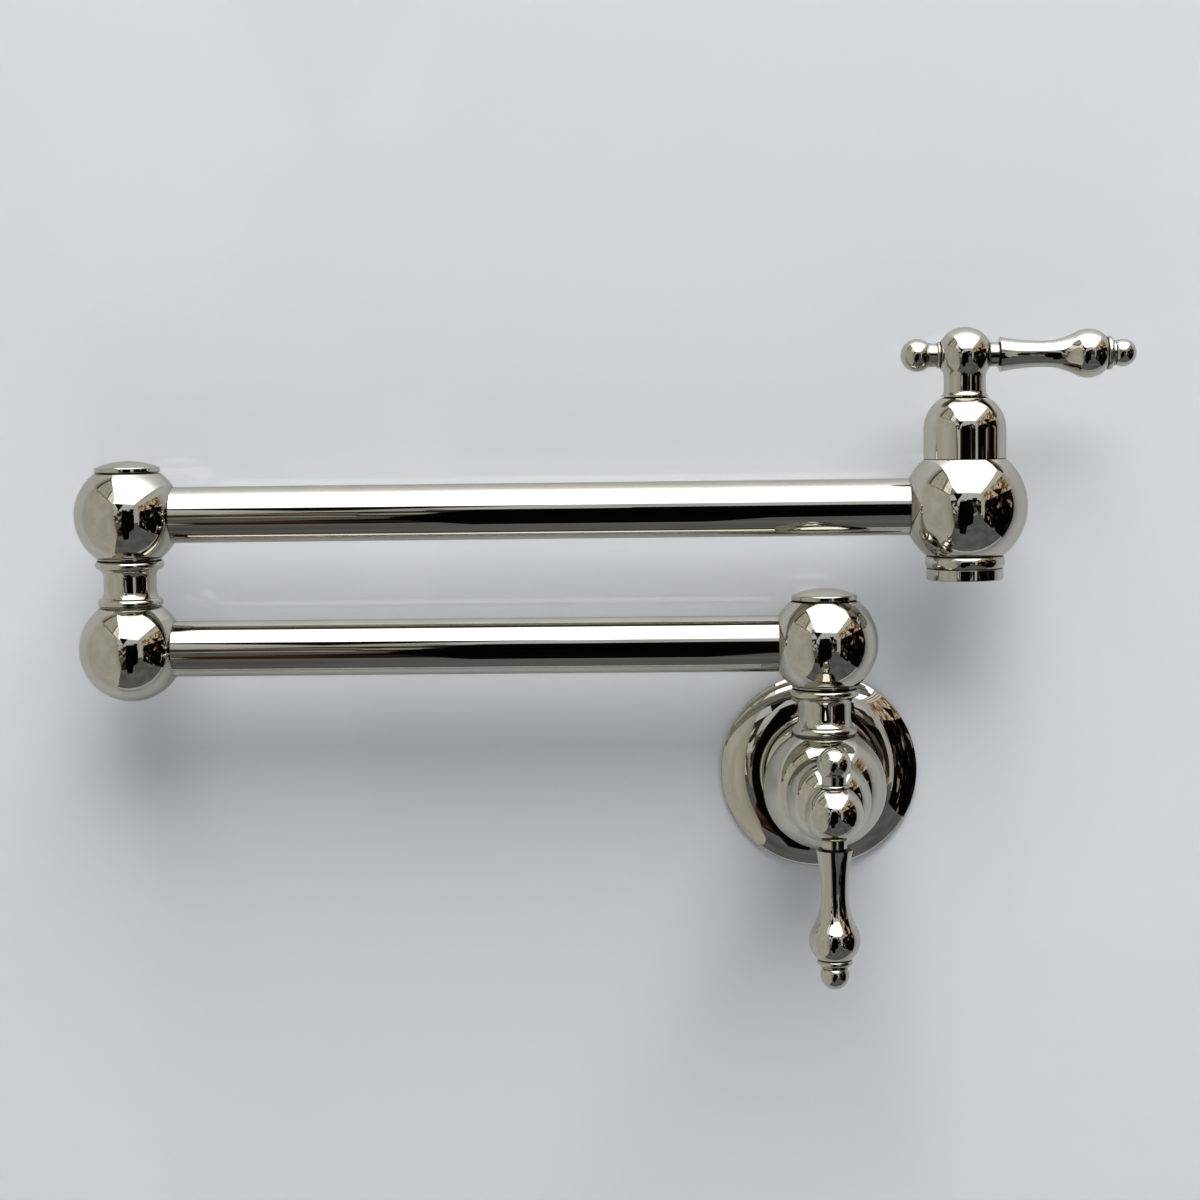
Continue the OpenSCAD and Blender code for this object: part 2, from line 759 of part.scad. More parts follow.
module gasket() {
    outer = escutcheon_r - 0.5;
    color(rubber) ring(outer, outer - gasket_w, 0, gasket_t);
}

module flange_plate() {
    color(steel) difference() {
        union() {
            bore(flange_r, 0, flange_t);
            bore(collar_r, 0, collar_h);
        }
        bore(shank_r + slip, -through, collar_h + 2 * through);
        for (i = [1:wall_screws])
            rotate([0, 0, 90 + i * 360 / wall_screws])
                translate([wall_screw_circle_d / 2, 0, 0])
                    bore(wall_screw_hole_d / 2, -through, flange_t + 2 * through);
        at_flange_grubs() bore(flange_grub_r + slip, 0, collar_r + through);
    }
}

module at_flange_grubs() {
    for (turn = [0, 180])
        rotate([0, 0, turn]) translate([0, 0, (flange_t + collar_h) / 2]) rotate([0, 90, 0]) children();
}

module flange_grubs() {
    end = collar_r - grub_recess;
    color(steel) at_flange_grubs() difference() {
        bore(flange_grub_r, shank_r, end - shank_r);
        hexagon(flange_grub_key_r, end - 1.5, collar_r);
    }
}

// An arc that leans from one tilt to another, ending where the next curve starts
function leaning(foot, r, from, to, steps) =
    arc(foot - r * [sin(from), cos(from)], r, 90 - from, 90 - to, steps);

// A thin turned cover: rim, domed slope, bead with its line, crown, and a neck that grips the shank
module wall_cover() {
    grip_r = shank_r + slip;
    inner_rim_r = escutcheon_r - 2.2;
    lip = 1.2;
    outline = concat(
        [[escutcheon_r - cover_edge, gasket_t], [escutcheon_r, gasket_t + cover_edge]],
        arc([escutcheon_r - rim_edge, gasket_t + rim_h], rim_edge, 0, 90 - rim_tilt, 4),
        leaning(dome_foot, steep_round, rim_tilt, break_tilt, 10),
        leaning(dome_break, flat_round, break_tilt, flat_tilt, 8),
        [[bead_r + bead_quirk, dome_z - bead_quirk], [bead_r, dome_z - bead_quirk]],
        arc([bead_r - bead_round, dome_z], bead_round, 0, 180, 10),
        leaning([crown_foot_r, dome_z], crown_round, crown_tilt, crown_flat_tilt, 8),
        arc([cover_neck_r + cover_neck_fillet, crown_z + cover_neck_fillet], cover_neck_fillet, 270, 180, 4),
        arc([cover_neck_r - rim_edge, escutcheon_depth - rim_edge], rim_edge, 0, 90, 4),
        [[grip_r + cover_edge, escutcheon_depth], [grip_r, escutcheon_depth - cover_edge]]
    );
    inside = [
        [grip_r, cover_back], [collar_r + 1, cover_back],
        [crown_foot_r, dome_z - shell_t], [bead_r + bead_quirk, dome_z - shell_t],
        [dome_break[0] - 0.5, dome_break[1] - shell_t],
        [inner_rim_r, gasket_t + lip], [inner_rim_r, gasket_t]
    ];
    groove_w = cord_d + groove_play;
    color(nickel) difference() {
        turned(concat(outline, inside));
        ring(grip_r + cord_d + ring_relief, shank_r - through, cover_ring_z - groove_w / 2, groove_w);
    }
}

module wall_cover_o_ring() color(rubber) o_ring(shank_r + slip + cord_d, cover_ring_z);

at_wall() gasket();  // wall_gasket
at_wall() flange_plate();  // mounting_flange
at_wall() flange_grubs();  // flange_grub_screws
at_wall() wall_cover();  // escutcheon
at_wall() wall_cover_o_ring();  // escutcheon_o_ring
at_wall_valve() wall_body();  // wall_valve_body
at_wall_valve() seat_seal();  // wall_seat_seal
at_wall_valve() fixed_disc();  // wall_fixed_disc
at_wall_valve() moving_disc();  // wall_moving_disc
at_wall_valve() cartridge();  // wall_cartridge
at_wall_valve() cartridge_o_ring();  // wall_cartridge_o_ring
at_wall_valve() stem();  // wall_stem
at_wall_valve() stem_o_ring();  // wall_stem_o_ring
at_wall_valve() bonnet();  // wall_bonnet
at_wall_handle() hub();  // wall_hub
at_wall_handle() lever();  // wall_lever
at_wall_handle() finial();  // wall_finial
at_wall_handle() hub_grub_screw();  // wall_hub_grub_screw
at_shoulder() neck();  // shoulder_neck
at_shoulder() neck_o_rings();  // shoulder_o_rings
at_shoulder() thrust_washer();  // shoulder_washer
at_shoulder() retainer();  // shoulder_retainer
at_shoulder() retaining_screw();  // shoulder_screw
at_shoulder() facing_left() swivel_ball();  // shoulder_ball
at_shoulder() joint_cap();  // shoulder_cap
at_elbow_lower() lower_arm_tube();  // lower_tube
at_elbow_lower() base_ball();  // elbow_lower_ball
at_elbow_upper() neck();  // elbow_neck
at_elbow_upper() neck_o_rings();  // elbow_o_rings
at_elbow_upper() thrust_washer();  // elbow_washer
at_elbow_upper() retainer();  // elbow_retainer
at_elbow_upper() retaining_screw();  // elbow_screw
at_elbow_upper() swivel_ball();  // elbow_upper_ball
at_elbow_upper() joint_cap();  // elbow_cap
at_elbow_upper() upper_arm_tube();  // upper_tube
at_end_valve() end_body();  // end_valve_body
at_end_valve() seat_seal();  // end_seat_seal
at_end_valve() fixed_disc();  // end_fixed_disc
at_end_valve() moving_disc();  // end_moving_disc
at_end_valve() cartridge();  // end_cartridge
at_end_valve() cartridge_o_ring();  // end_cartridge_o_ring
at_end_valve() stem();  // end_stem
at_end_valve() stem_o_ring();  // end_stem_o_ring
at_end_valve() bonnet();  // end_bonnet
at_end_valve() hub();  // end_hub
at_end_valve() lever();  // end_lever
at_end_valve() finial();  // end_finial
at_end_valve() hub_grub_screw();  // end_hub_grub_screw
at_outlet() outlet_band();  // outlet_ring
at_outlet() aerator_shell();  // aerator_housing
at_outlet() aerator_seal();  // aerator_washer
at_outlet() aerator_core();  // aerator_insert
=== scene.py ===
import json
import math
import bpy
from mathutils import Matrix, Vector


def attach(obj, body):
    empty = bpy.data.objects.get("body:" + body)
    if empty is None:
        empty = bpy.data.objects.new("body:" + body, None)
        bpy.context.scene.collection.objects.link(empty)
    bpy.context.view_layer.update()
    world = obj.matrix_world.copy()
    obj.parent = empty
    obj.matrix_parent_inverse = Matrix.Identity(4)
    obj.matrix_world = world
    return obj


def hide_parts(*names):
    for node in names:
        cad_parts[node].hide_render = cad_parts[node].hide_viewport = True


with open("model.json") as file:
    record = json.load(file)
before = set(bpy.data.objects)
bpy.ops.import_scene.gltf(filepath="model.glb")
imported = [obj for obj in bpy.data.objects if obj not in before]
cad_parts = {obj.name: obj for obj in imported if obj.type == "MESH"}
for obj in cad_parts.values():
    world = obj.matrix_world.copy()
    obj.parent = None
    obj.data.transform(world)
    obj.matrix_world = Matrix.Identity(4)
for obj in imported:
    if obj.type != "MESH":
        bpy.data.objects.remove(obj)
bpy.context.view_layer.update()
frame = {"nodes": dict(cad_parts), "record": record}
mm = 0.001


cameraSet = {
    "place": (-0.04398, -0.81765, 0.13057),  # metres
    "tilt": -4.86, "turn": -2.31, "roll": -0.76,  # degrees
    "lens": 69.48, "sensor": 36.0, "clip": (0.01, 20),
}


def addCamera(c):
    tilt, turn, roll = (math.radians(c[k]) for k in ("tilt", "turn", "roll"))
    forward = Vector((math.sin(turn) * math.cos(tilt), math.cos(turn) * math.cos(tilt), math.sin(tilt)))
    sideways = Vector((math.cos(turn), -math.sin(turn), 0))
    upwards = sideways.cross(forward)
    right = math.cos(roll) * sideways + math.sin(roll) * upwards
    up = math.cos(roll) * upwards - math.sin(roll) * sideways
    data = bpy.data.cameras.new("camera")
    data.lens, data.sensor_width = c["lens"], c["sensor"]
    data.clip_start, data.clip_end = c["clip"]
    camera = bpy.data.objects.new("camera", data)
    facing = Matrix((right, up, -forward)).transposed().to_4x4()
    camera.matrix_world = Matrix.Translation(c["place"]) @ facing
    bpy.context.scene.collection.objects.link(camera)
    bpy.context.scene.camera = camera


addCamera(cameraSet)
bpy.context.scene.view_settings.view_transform = "Standard"
print("camera ready")


def linear(code):
    parts = [int(code[i:i + 2], 16) / 255 for i in (1, 3, 5)]
    return [p / 12.92 if p <= 0.04045 else ((p + 0.055) / 1.055) ** 2.4 for p in parts] + [1.0]


def addNode(tree, kind, settings=None, links=None):
    node = tree.nodes.new(kind)
    for key, value in (settings or {}).items():
        if isinstance(key, str) and hasattr(node, key):
            setattr(node, key, value)
        else:
            node.inputs[key].default_value = value
    for key, source in (links or {}).items():
        tree.links.new(source, node.inputs[key])
    return node


def newMaterial(name):
    material = bpy.data.materials.new(name)
    material.use_nodes = True
    tree = material.node_tree
    tree.nodes.clear()
    return material, tree


def perMetre(millimetres):
    return 1000 / millimetres


noiseSpan = {"From Min": 0.35, "From Max": 0.65}  # where most of a noise's values lie


def surface(name, look):
    # two colours mix in soft patches, smudges vary the roughness, and two sizes of bump give the surface
    material, tree = newMaterial(name)
    place = addNode(tree, "ShaderNodeTexCoord").outputs["Object"]
    fields = {}
    for key, detail in (("patchSize", 4.0), ("smudgeSize", 5.0), ("fineSize", 3.0), ("waveSize", 1.0)):
        noise = addNode(tree, "ShaderNodeTexNoise", {"Scale": perMetre(look[key]), "Detail": detail},
                        {"Vector": place})
        fields[key] = noise.outputs["Fac"]
    first, second = (linear(code) for code in look["colours"])
    patches = addNode(tree, "ShaderNodeMapRange", noiseSpan, {"Value": fields["patchSize"]})
    colour = addNode(tree, "ShaderNodeMix", {"data_type": "RGBA", 6: first, 7: second},
                     {0: patches.outputs[0]}).outputs[2]
    low, high = look["roughness"]
    rough = addNode(tree, "ShaderNodeMapRange", {**noiseSpan, "To Min": low, "To Max": high},
                    {"Value": fields["smudgeSize"]}).outputs[0]
    if "seam" in look:
        # painted shade, with some polish residue: where two faces come close, the colour darkens and dulls,
        # so seams and inner corners read as dark lines
        seam = look["seam"]
        openness = addNode(tree, "ShaderNodeAmbientOcclusion",
                           {"samples": seam["samples"], "Distance": seam["reach"] * mm})
        share = addNode(tree, "ShaderNodeMapRange",
                        {"From Min": seam["closed"], "From Max": seam["open"], "To Min": 1.0, "To Max": 0.0},
                        {"Value": openness.outputs["AO"]}).outputs[0]
        colour = addNode(tree, "ShaderNodeMix", {"data_type": "RGBA", 7: linear(seam["colour"])},
                         {0: share, 6: colour}).outputs[2]
        rough = addNode(tree, "ShaderNodeMix", {"data_type": "FLOAT", 3: seam["roughness"]},
                        {0: share, 2: rough}).outputs[0]
    fine = addNode(tree, "ShaderNodeMath", {"operation": "MULTIPLY", 1: look["fineShare"]},
                   {0: fields["fineSize"]})
    height = addNode(tree, "ShaderNodeMath", {"operation": "ADD"},
                     {0: fine.outputs[0], 1: fields["waveSize"]})
    bump = addNode(tree, "ShaderNodeBump", {"Strength": 1.0, "Distance": look["bump"] * mm},
                   {"Height": height.outputs[0]})
    shader = addNode(tree, "ShaderNodeBsdfPrincipled", {"Metallic": look["metallic"]},
                     {"Base Color": colour, "Roughness": rough, "Normal": bump.outputs["Normal"]})
    if "edge" in look:
        shader.inputs["Specular Tint"].default_value = linear(look["edge"])
    addNode(tree, "ShaderNodeOutputMaterial", {}, {"Surface": shader.outputs["BSDF"]})
    return material


looks = {
    # buffed nickel plate on brass: a warm grey mirror, with faint waves from the buffing wheel, thin smudges,
    # and dark lines in the seams that are painted shade with some polish residue
    "polishedNickel": {
        "colours": ("#c3bfb5", "#bcb8ad"), "edge": "#e6e4df", "metallic": 1.0, "roughness": (0.015, 0.045),
        "patchSize": 30, "smudgeSize": 14, "fineSize": 0.9, "fineShare": 0.02, "waveSize": 16, "bump": 0.006,
        "seam": {"reach": 1.6, "closed": 0.56, "open": 0.84, "colour": "#100e0c", "roughness": 0.4,
                 "samples": 6}},
    # turned brass inside the valves: satin gold-brown
    "turnedBrass": {
        "colours": ("#c9a35c", "#b98f4b"), "metallic": 1.0, "roughness": (0.22, 0.34),
        "patchSize": 6, "smudgeSize": 3, "fineSize": 0.3, "fineShare": 0.6, "waveSize": 4, "bump": 0.01},
    # pressed stainless steel of flange, screws and retainers: cooler and duller than the nickel
    "stainlessSteel": {
        "colours": ("#b9bbbd", "#a7a9ab"), "metallic": 1.0, "roughness": (0.25, 0.4),
        "patchSize": 8, "smudgeSize": 4, "fineSize": 0.3, "fineShare": 0.6, "waveSize": 5, "bump": 0.012},
    # moulded black rubber: dull, with a fine moulded skin and a grey bloom
    "mouldedRubber": {
        "colours": ("#29292b", "#38383a"), "metallic": 0.0, "roughness": (0.6, 0.8),
        "patchSize": 4, "smudgeSize": 2, "fineSize": 0.25, "fineShare": 0.8, "waveSize": 3, "bump": 0.02},
    # lapped alumina discs: white and smooth
    "lappedCeramic": {
        "colours": ("#ece9e1", "#e4e0d6"), "metallic": 0.0, "roughness": (0.12, 0.2),
        "patchSize": 5, "smudgeSize": 3, "fineSize": 0.3, "fineShare": 0.2, "waveSize": 3, "bump": 0.003},
    # moulded acetal: milky white with a soft sheen
    "mouldedAcetal": {
        "colours": ("#dcdcd6", "#d2d2cb"), "metallic": 0.0, "roughness": (0.35, 0.5),
        "patchSize": 4, "smudgeSize": 2, "fineSize": 0.3, "fineShare": 0.5, "waveSize": 3, "bump": 0.008},
}
materials = {name: surface(name, look) for name, look in looks.items()}
slotLooks = {"polished_nickel": "polishedNickel", "brass": "turnedBrass", "stainless_steel": "stainlessSteel",
             "rubber": "mouldedRubber", "ceramic": "lappedCeramic", "nylon": "mouldedAcetal"}
for part in frame["record"]["subparts"]:
    cadNode = frame["nodes"][part["node"]]
    cadNode.data.materials.clear()
    cadNode.data.materials.append(materials[slotLooks[part["material_slot"]]])
print("materials ready")


def halfChord(r, d):
    return math.sqrt(r * r - d * d)


def arc(x, z, r, start, end, step=4):
    count = max(2, math.ceil(abs(end - start) / step))
    angles = [math.radians(start + (end - start) * i / count) for i in range(count + 1)]
    return [(x + r * math.cos(a), z + r * math.sin(a)) for a in angles]


def neckToBall(z, ball, neck, fillet, end):
    # a straight neck that flows into a ball through a fillet
    start = halfChord(ball + fillet, neck + fillet)
    join = math.degrees(math.atan2(start, neck + fillet))
    return arc(neck + fillet, z - start, fillet, 180, 180 - join) + arc(0, z, ball, -join, end)


tiny = 1e-4  # mm: points that are closer than this are one


def turnedMesh(name, outline, place, segments=128):
    # outline: radius and height in mm, listed up the outside and back down the bore
    points = [outline[0]]
    for p in outline[1:]:
        if math.dist(p, points[-1]) > tiny:
            points.append(p)
    if math.dist(points[0], points[-1]) < tiny:
        points.pop()
    vertices, rings = [], []
    for r, z in points:
        count = segments if r > tiny else 1
        rings.append((len(vertices), count))
        for i in range(count):
            a = 2 * math.pi * i / segments
            vertices.append((r * math.cos(a), r * math.sin(a), z))
    faces = []
    for k in range(len(rings)):
        (low, lowCount), (high, highCount) = rings[k], rings[(k + 1) % len(rings)]
        if lowCount == 1 and highCount == 1:
            continue
        for i in range(segments):
            j = (i + 1) % segments
            corners = [low + (i if lowCount > 1 else 0), low + (j if lowCount > 1 else 0),
                       high + (j if highCount > 1 else 0), high + (i if highCount > 1 else 0)]
            faces.append(list(dict.fromkeys(corners)))
    mesh = bpy.data.meshes.new(name)
    mesh.from_pydata(vertices, [], faces)
    mesh.transform(place @ Matrix.Scale(mm, 4))
    mesh.update()
    return mesh


def addObject(name, data):
    thing = bpy.data.objects.new(name, data)
    bpy.context.scene.collection.objects.link(thing)
    return thing


def carve(thing, cutters):
    # takes each cutter out of the piece, and leaves no modifier on it
    for cutter in cutters:
        modifier = thing.modifiers.new("carve", "BOOLEAN")
        modifier.operation, modifier.solver, modifier.object = "DIFFERENCE", "EXACT", cutter
    shaped = bpy.data.meshes.new_from_object(thing.evaluated_get(bpy.context.evaluated_depsgraph_get()))
    thing.modifiers.clear()
    old, thing.data = thing.data, shaped
    bpy.data.meshes.remove(old)
    for cutter in cutters:
        bpy.data.objects.remove(cutter)


def finishPiece(thing, body, node, slot="polished_nickel", sharp=28):
    mesh = thing.data
    mesh.materials.clear()
    mesh.materials.append(materials[slotLooks[slot]])
    mesh.polygons.foreach_set("use_smooth", [True] * len(mesh.polygons))
    mesh.set_sharp_from_angle(angle=math.radians(sharp))
    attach(thing, body)
    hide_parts(node)


def turned(name, outline, place, body, node, cutters=(), segments=128):
    thing = addObject(name, turnedMesh(name, outline, place, segments))
    if cutters:
        carve(thing, [addObject("cutter", turnedMesh("cutter", o, p, 96)) for o, p in cutters])
    finishPiece(thing, body, node)


past = 2  # mm that a cutter reaches past the ball it cuts


def rod(r, low, high):
    return [(0, low), (r, low), (r, high), (0, high)]


def at(x, y, z, *turns):
    place = Matrix.Translation((x * mm, y * mm, z * mm))
    for angle, axis in turns:
        place = place @ Matrix.Rotation(math.radians(angle), 4, axis)
    return place


# places, in mm, as in the model
arms = {"fromWall": 40, "lower": 235, "upper": 282, "tubeR": 9.5, "boreR": 8.0, "edge": 0.15,
        "slip": 0.05, "running": 0.05}
ball = {"jointR": 18.15, "baseR": 17.8, "valveR": 20.85, "seat": 14.8, "landR": 11.0, "socket": 2.4}
neck = {"height": 15.9, "gap": 0.35, "footR": 10.35, "waistR": 8.9, "lowR": 11.05, "highR": 11.7,
        "lowBead": 1.6, "highBead": 1.45, "cove": 2.8, "flare": 5, "quirk": 0.85, "tenonR": 7.5, "tenon": 5,
        "spindleR": 6.45, "spindleTop": 10.3, "waterR": 3.6, "waterTop": 3.02, "screwR": 2.55,
        "screwDepth": 6, "rings": (-10.6, 8.6), "ringWidth": 1.6, "ringDepth": 1.45, "lowStart": -50,
        "highEnd": 62, "portShare": 0.7, "portReach": 9}
rise = neck["height"] + neck["gap"] + ball["seat"]
valveSeat = halfChord(ball["valveR"], neck["footR"])
baseSeat = halfChord(ball["baseR"], neck["footR"])
shoulderZ = valveSeat + rise
elbowZ = shoulderZ + baseSeat + rise
armY = -arms["fromWall"]
endX = arms["upper"] - arms["lower"]

atWall = at(0, 0, 0, (90, "X"))
atWallValve = at(0, armY, 0, (90, "X"))
atWallHandle = at(0, armY, 0, (90, "X"), (-90, "Z"))
atShoulder = at(0, armY, shoulderZ)
atElbowLow = at(-arms["lower"], armY, shoulderZ)
atElbowHigh = at(-arms["lower"], armY, elbowZ)
atEnd = at(endX, armY, elbowZ)
atOutlet = at(endX, armY, elbowZ, (180, "X"))
alongX = Matrix.Rotation(math.radians(90), 4, "Y")
alongMinusX = Matrix.Rotation(math.radians(-90), 4, "Y")


def tubeSeat(r):
    return halfChord(r, arms["tubeR"]) - ball["socket"]


def socketCutter(r):
    # the hole for a tube, with the waterway behind it
    outer, seat, clear = arms["tubeR"] + arms["slip"], tubeSeat(r), r + past
    return [(0, 0), (arms["boreR"], 0), (arms["boreR"], seat), (outer, seat), (outer, clear), (0, clear)]


def neckOutline(n):
    top = -ball["seat"] - n["gap"]
    base = top - n["height"]
    lowR, highR = n["lowR"] - n["lowBead"], n["highR"] - n["highBead"]
    quirkAngle = math.degrees(math.acos((n["waistR"] + n["quirk"] - lowR) / n["lowBead"]))
    quirkZ = base + n["lowBead"] * (1 + math.sin(math.radians(quirkAngle)))
    flareAngle = math.degrees(math.acos(1 - n["quirk"] / n["flare"]))
    coveX = n["waistR"] + n["cove"] - highR
    coveDrop = halfChord(n["highBead"] + n["cove"], coveX)
    coveAngle = math.degrees(math.atan2(coveDrop, coveX))
    outline = [(n["waterR"], base - n["tenon"]), (n["tenonR"], base - n["tenon"]), (n["tenonR"], base),
               (n["footR"], base)]
    outline += arc(lowR, base + n["lowBead"], n["lowBead"], n["lowStart"], quirkAngle)
    flareZ = quirkZ + n["flare"] * math.sin(math.radians(flareAngle))
    outline += arc(n["waistR"] + n["flare"], flareZ, n["flare"], 180 + flareAngle, 180)
    outline += arc(n["waistR"] + n["cove"], top - n["highBead"] - coveDrop, n["cove"], 180, 180 - coveAngle)
    outline += arc(highR, top - n["highBead"], n["highBead"], -coveAngle, n["highEnd"])
    outline += [(highR, top), (n["spindleR"], top)]
    for z in n["rings"]:
        low, high, floor = z - n["ringWidth"] / 2, z + n["ringWidth"] / 2, n["spindleR"] - n["ringDepth"]
        outline += [(n["spindleR"], low), (floor, low), (floor, high), (n["spindleR"], high)]
    screwFoot = n["spindleTop"] - n["screwDepth"]
    outline += [(n["spindleR"], n["spindleTop"]), (n["screwR"], n["spindleTop"]), (n["screwR"], screwFoot),
                (0, screwFoot), (0, n["waterTop"]), (n["waterR"], n["waterTop"])]
    return outline


port = rod(neck["waterR"] * neck["portShare"], -neck["portReach"], neck["portReach"])
for name, place, body in (("shoulder_neck", atShoulder, "wall_body"),
                          ("elbow_neck", atElbowHigh, "lower_arm")):
    ports = [(port, place @ at(0, 0, 0, (90, axis))) for axis in ("X", "Y")]
    turned(name + "_turned", neckOutline(neck), place, body, name, ports)


# turning balls, their caps and the fixed ball at the elbow
joint = {"capSeatR": 11.4, "pocketR": 8.5, "pocketZ": 10.2, "chamberR": 10.3, "chamberZ": 7,
         "recessR": 9.5, "recess": 0.8}
cap = {"r": 11, "gap": 0.3, "height": 4.4, "edge": 0.6, "crown": 2.1, "roof": 1, "boreR": 5.2,
       "spigotR": 8.45, "spigotFoot": 11.9}
elbowBase = {"holeDepth": 5.4, "waterR": 5}


def ballOutline(j):
    r, seat, bore = ball["jointR"], ball["seat"], neck["spindleR"] + arms["running"]
    capSeat = halfChord(r, j["capSeatR"])
    low = -math.degrees(math.acos(ball["landR"] / r))
    high = math.degrees(math.acos(j["capSeatR"] / r))
    return [(j["recessR"], -seat), (ball["landR"], -seat)] + arc(0, 0, r, low, high) + [
        (j["pocketR"], capSeat), (j["pocketR"], j["pocketZ"]), (bore, j["pocketZ"]), (bore, j["chamberZ"]),
        (j["chamberR"], j["chamberZ"]), (j["chamberR"], -j["chamberZ"]), (bore, -j["chamberZ"]),
        (bore, -seat + j["recess"]), (j["recessR"], -seat + j["recess"])]


def capOutline(c):
    seat = halfChord(ball["jointR"], joint["capSeatR"])
    foot, top, inner = seat + c["gap"], seat + c["height"], c["r"] - c["edge"]
    crownR = (inner ** 2 + c["crown"] ** 2) / (2 * c["crown"])
    crownAngle = math.degrees(math.acos(inner / crownR))
    side = top - c["crown"] - c["edge"] * math.sin(math.radians(crownAngle))
    return ([(c["boreR"], c["spigotFoot"]), (c["spigotR"], c["spigotFoot"]), (c["spigotR"], foot)]
            + arc(inner, foot + c["edge"], c["edge"], -90, 0, 10)
            + arc(inner, side, c["edge"], 0, crownAngle, 6)
            + arc(0, top - crownR, crownR, crownAngle, 90, 1.2)
            + [(0, foot + c["roof"]), (c["boreR"], foot + c["roof"])])


def baseOutline(b):
    r, room, floor = ball["baseR"], neck["tenonR"] + arms["slip"], baseSeat - b["holeDepth"]
    high = math.degrees(math.asin(baseSeat / r))
    return arc(0, 0, r, -90, high) + [
        (room, baseSeat), (room, floor), (b["waterR"], floor), (b["waterR"], 0), (0, 0)]


turned("shoulder_ball_turned", ballOutline(joint), atShoulder, "lower_arm", "shoulder_ball",
       [(socketCutter(ball["jointR"]), atShoulder @ alongMinusX)])
turned("elbow_upper_ball_turned", ballOutline(joint), atElbowHigh, "upper_arm", "elbow_upper_ball",
       [(socketCutter(ball["jointR"]), atElbowHigh @ alongX)])
turned("shoulder_cap_turned", capOutline(cap), atShoulder, "lower_arm", "shoulder_cap")
turned("elbow_cap_turned", capOutline(cap), atElbowHigh, "upper_arm", "elbow_cap")
turned("elbow_lower_ball_turned", baseOutline(elbowBase), atElbowLow, "lower_arm", "elbow_lower_ball",
       [(socketCutter(ball["baseR"]), atElbowLow @ alongX)])


# tubes
def tubeOutline(low, high):
    outer, inner, edge = arms["tubeR"], arms["boreR"], arms["edge"]
    return [(inner, low), (outer - edge, low), (outer, low + edge), (outer, high - edge),
            (outer - edge, high), (inner, high)]


turned("lower_tube_drawn", tubeOutline(tubeSeat(ball["baseR"]), arms["lower"] - tubeSeat(ball["jointR"])),
       atElbowLow @ alongX, "lower_arm", "lower_tube")
turned("upper_tube_drawn", tubeOutline(tubeSeat(ball["jointR"]), arms["upper"] - tubeSeat(ball["valveR"])),
       atElbowHigh @ alongX, "upper_arm", "upper_tube")
print("arms ready")


# valve bodies and bonnets
valve = {"bonnetR": 13.7, "side": 10, "domeR": 12, "domeAngle": 60, "chamberR": 9.5, "floor": -7, "portR": 5,
         "portDepth": 4, "shankR": 11.8, "inletR": 9.3, "inletDepth": 14, "inletPortR": 6, "outletSeat": 16.2,
         "pipeR": 10, "pipe": 4, "threadR": 8.6, "relief": 3, "hexR": 11.9, "hexH": 3, "hexRoom": 0.3,
         "ledge": 3, "threadH": 8.3, "threadIn": 0.9, "neckR": 6, "neckH": 4, "neckRoom": 0.4,
         "chamfer": 0.25, "mouthEdge": 0.1}
thread = {"pitch": 1.81, "depth": 0.9, "lead": 1.2, "runOut": 1}  # pipe thread with 14 turns to the inch
bonnetSeat = halfChord(ball["valveR"], valve["bonnetR"])
bonnetTop = bonnetSeat + valve["side"] + valve["domeR"] * math.sin(math.radians(valve["domeAngle"]))
threadTop = bonnetSeat + valve["hexH"] + valve["threadH"]
housingTop = threadTop + valve["neckH"]


def threadRings(t, r, low, high):
    # the inlet's thread, drawn as rings from the top of the bore down; each is a crest, a flank and a root
    points = []
    for k in range(int((high - low) / t["pitch"])):
        top = high - k * t["pitch"]
        points += [(r + t["depth"] * deep, top - share * t["pitch"])
                   for deep, share in ((0, 0), (0, 0.15), (1, 0.5), (1, 0.65))]
    return points + [(r, low)]


def wallBodyOutline(v):
    r = ball["valveR"]
    low = -math.degrees(math.acos(v["shankR"] / r))
    high = math.degrees(math.asin(bonnetSeat / r))
    back, portFoot = -arms["fromWall"], v["floor"] - v["portDepth"]
    portTop = back + v["inletDepth"]
    rings = threadRings(thread, v["inletR"], back + thread["lead"], portTop - thread["runOut"])
    return [(v["inletR"], back), (v["shankR"], back)] + arc(0, 0, r, low, high) + [
        (v["chamberR"], bonnetSeat), (v["chamberR"], v["floor"]), (v["portR"], v["floor"]),
        (v["portR"], portFoot), (v["inletPortR"], portFoot), (v["inletPortR"], portTop),
        (v["inletR"], portTop)] + rings


def endBodyOutline(v):
    r, seat = ball["valveR"], -v["outletSeat"]
    low = -math.degrees(math.asin(v["outletSeat"] / r))
    high = math.degrees(math.asin(bonnetSeat / r))
    return [(v["threadR"], seat - v["pipe"]), (v["pipeR"], seat - v["pipe"]), (v["pipeR"], seat)] \
        + arc(0, 0, r, low, high) + [
        (v["chamberR"], bonnetSeat), (v["chamberR"], v["floor"]), (v["portR"], v["floor"]),
        (v["portR"], seat + v["relief"]), (v["threadR"], seat + v["relief"])]


def bonnetOutline(v):
    inner, ledge, chamfer = v["hexR"] + v["hexRoom"], bonnetSeat + v["hexH"] + v["ledge"], v["chamfer"]
    mouth, foot, edge = handle["neckR"] + handle["gap"], housingTop + v["neckRoom"], v["mouthEdge"]
    bore, neckBore = v["chamberR"] - v["threadIn"] + arms["slip"], v["neckR"] + arms["slip"]
    return ([(inner, bonnetSeat), (v["bonnetR"] - chamfer, bonnetSeat), (v["bonnetR"], bonnetSeat + chamfer)]
            + arc(v["bonnetR"] - v["domeR"], bonnetSeat + v["side"], v["domeR"], 0, v["domeAngle"], 3)
            + [(mouth + edge, bonnetTop), (mouth, bonnetTop - edge), (mouth, foot), (neckBore, foot),
               (neckBore, threadTop), (bore, threadTop), (bore, ledge), (inner, ledge)])


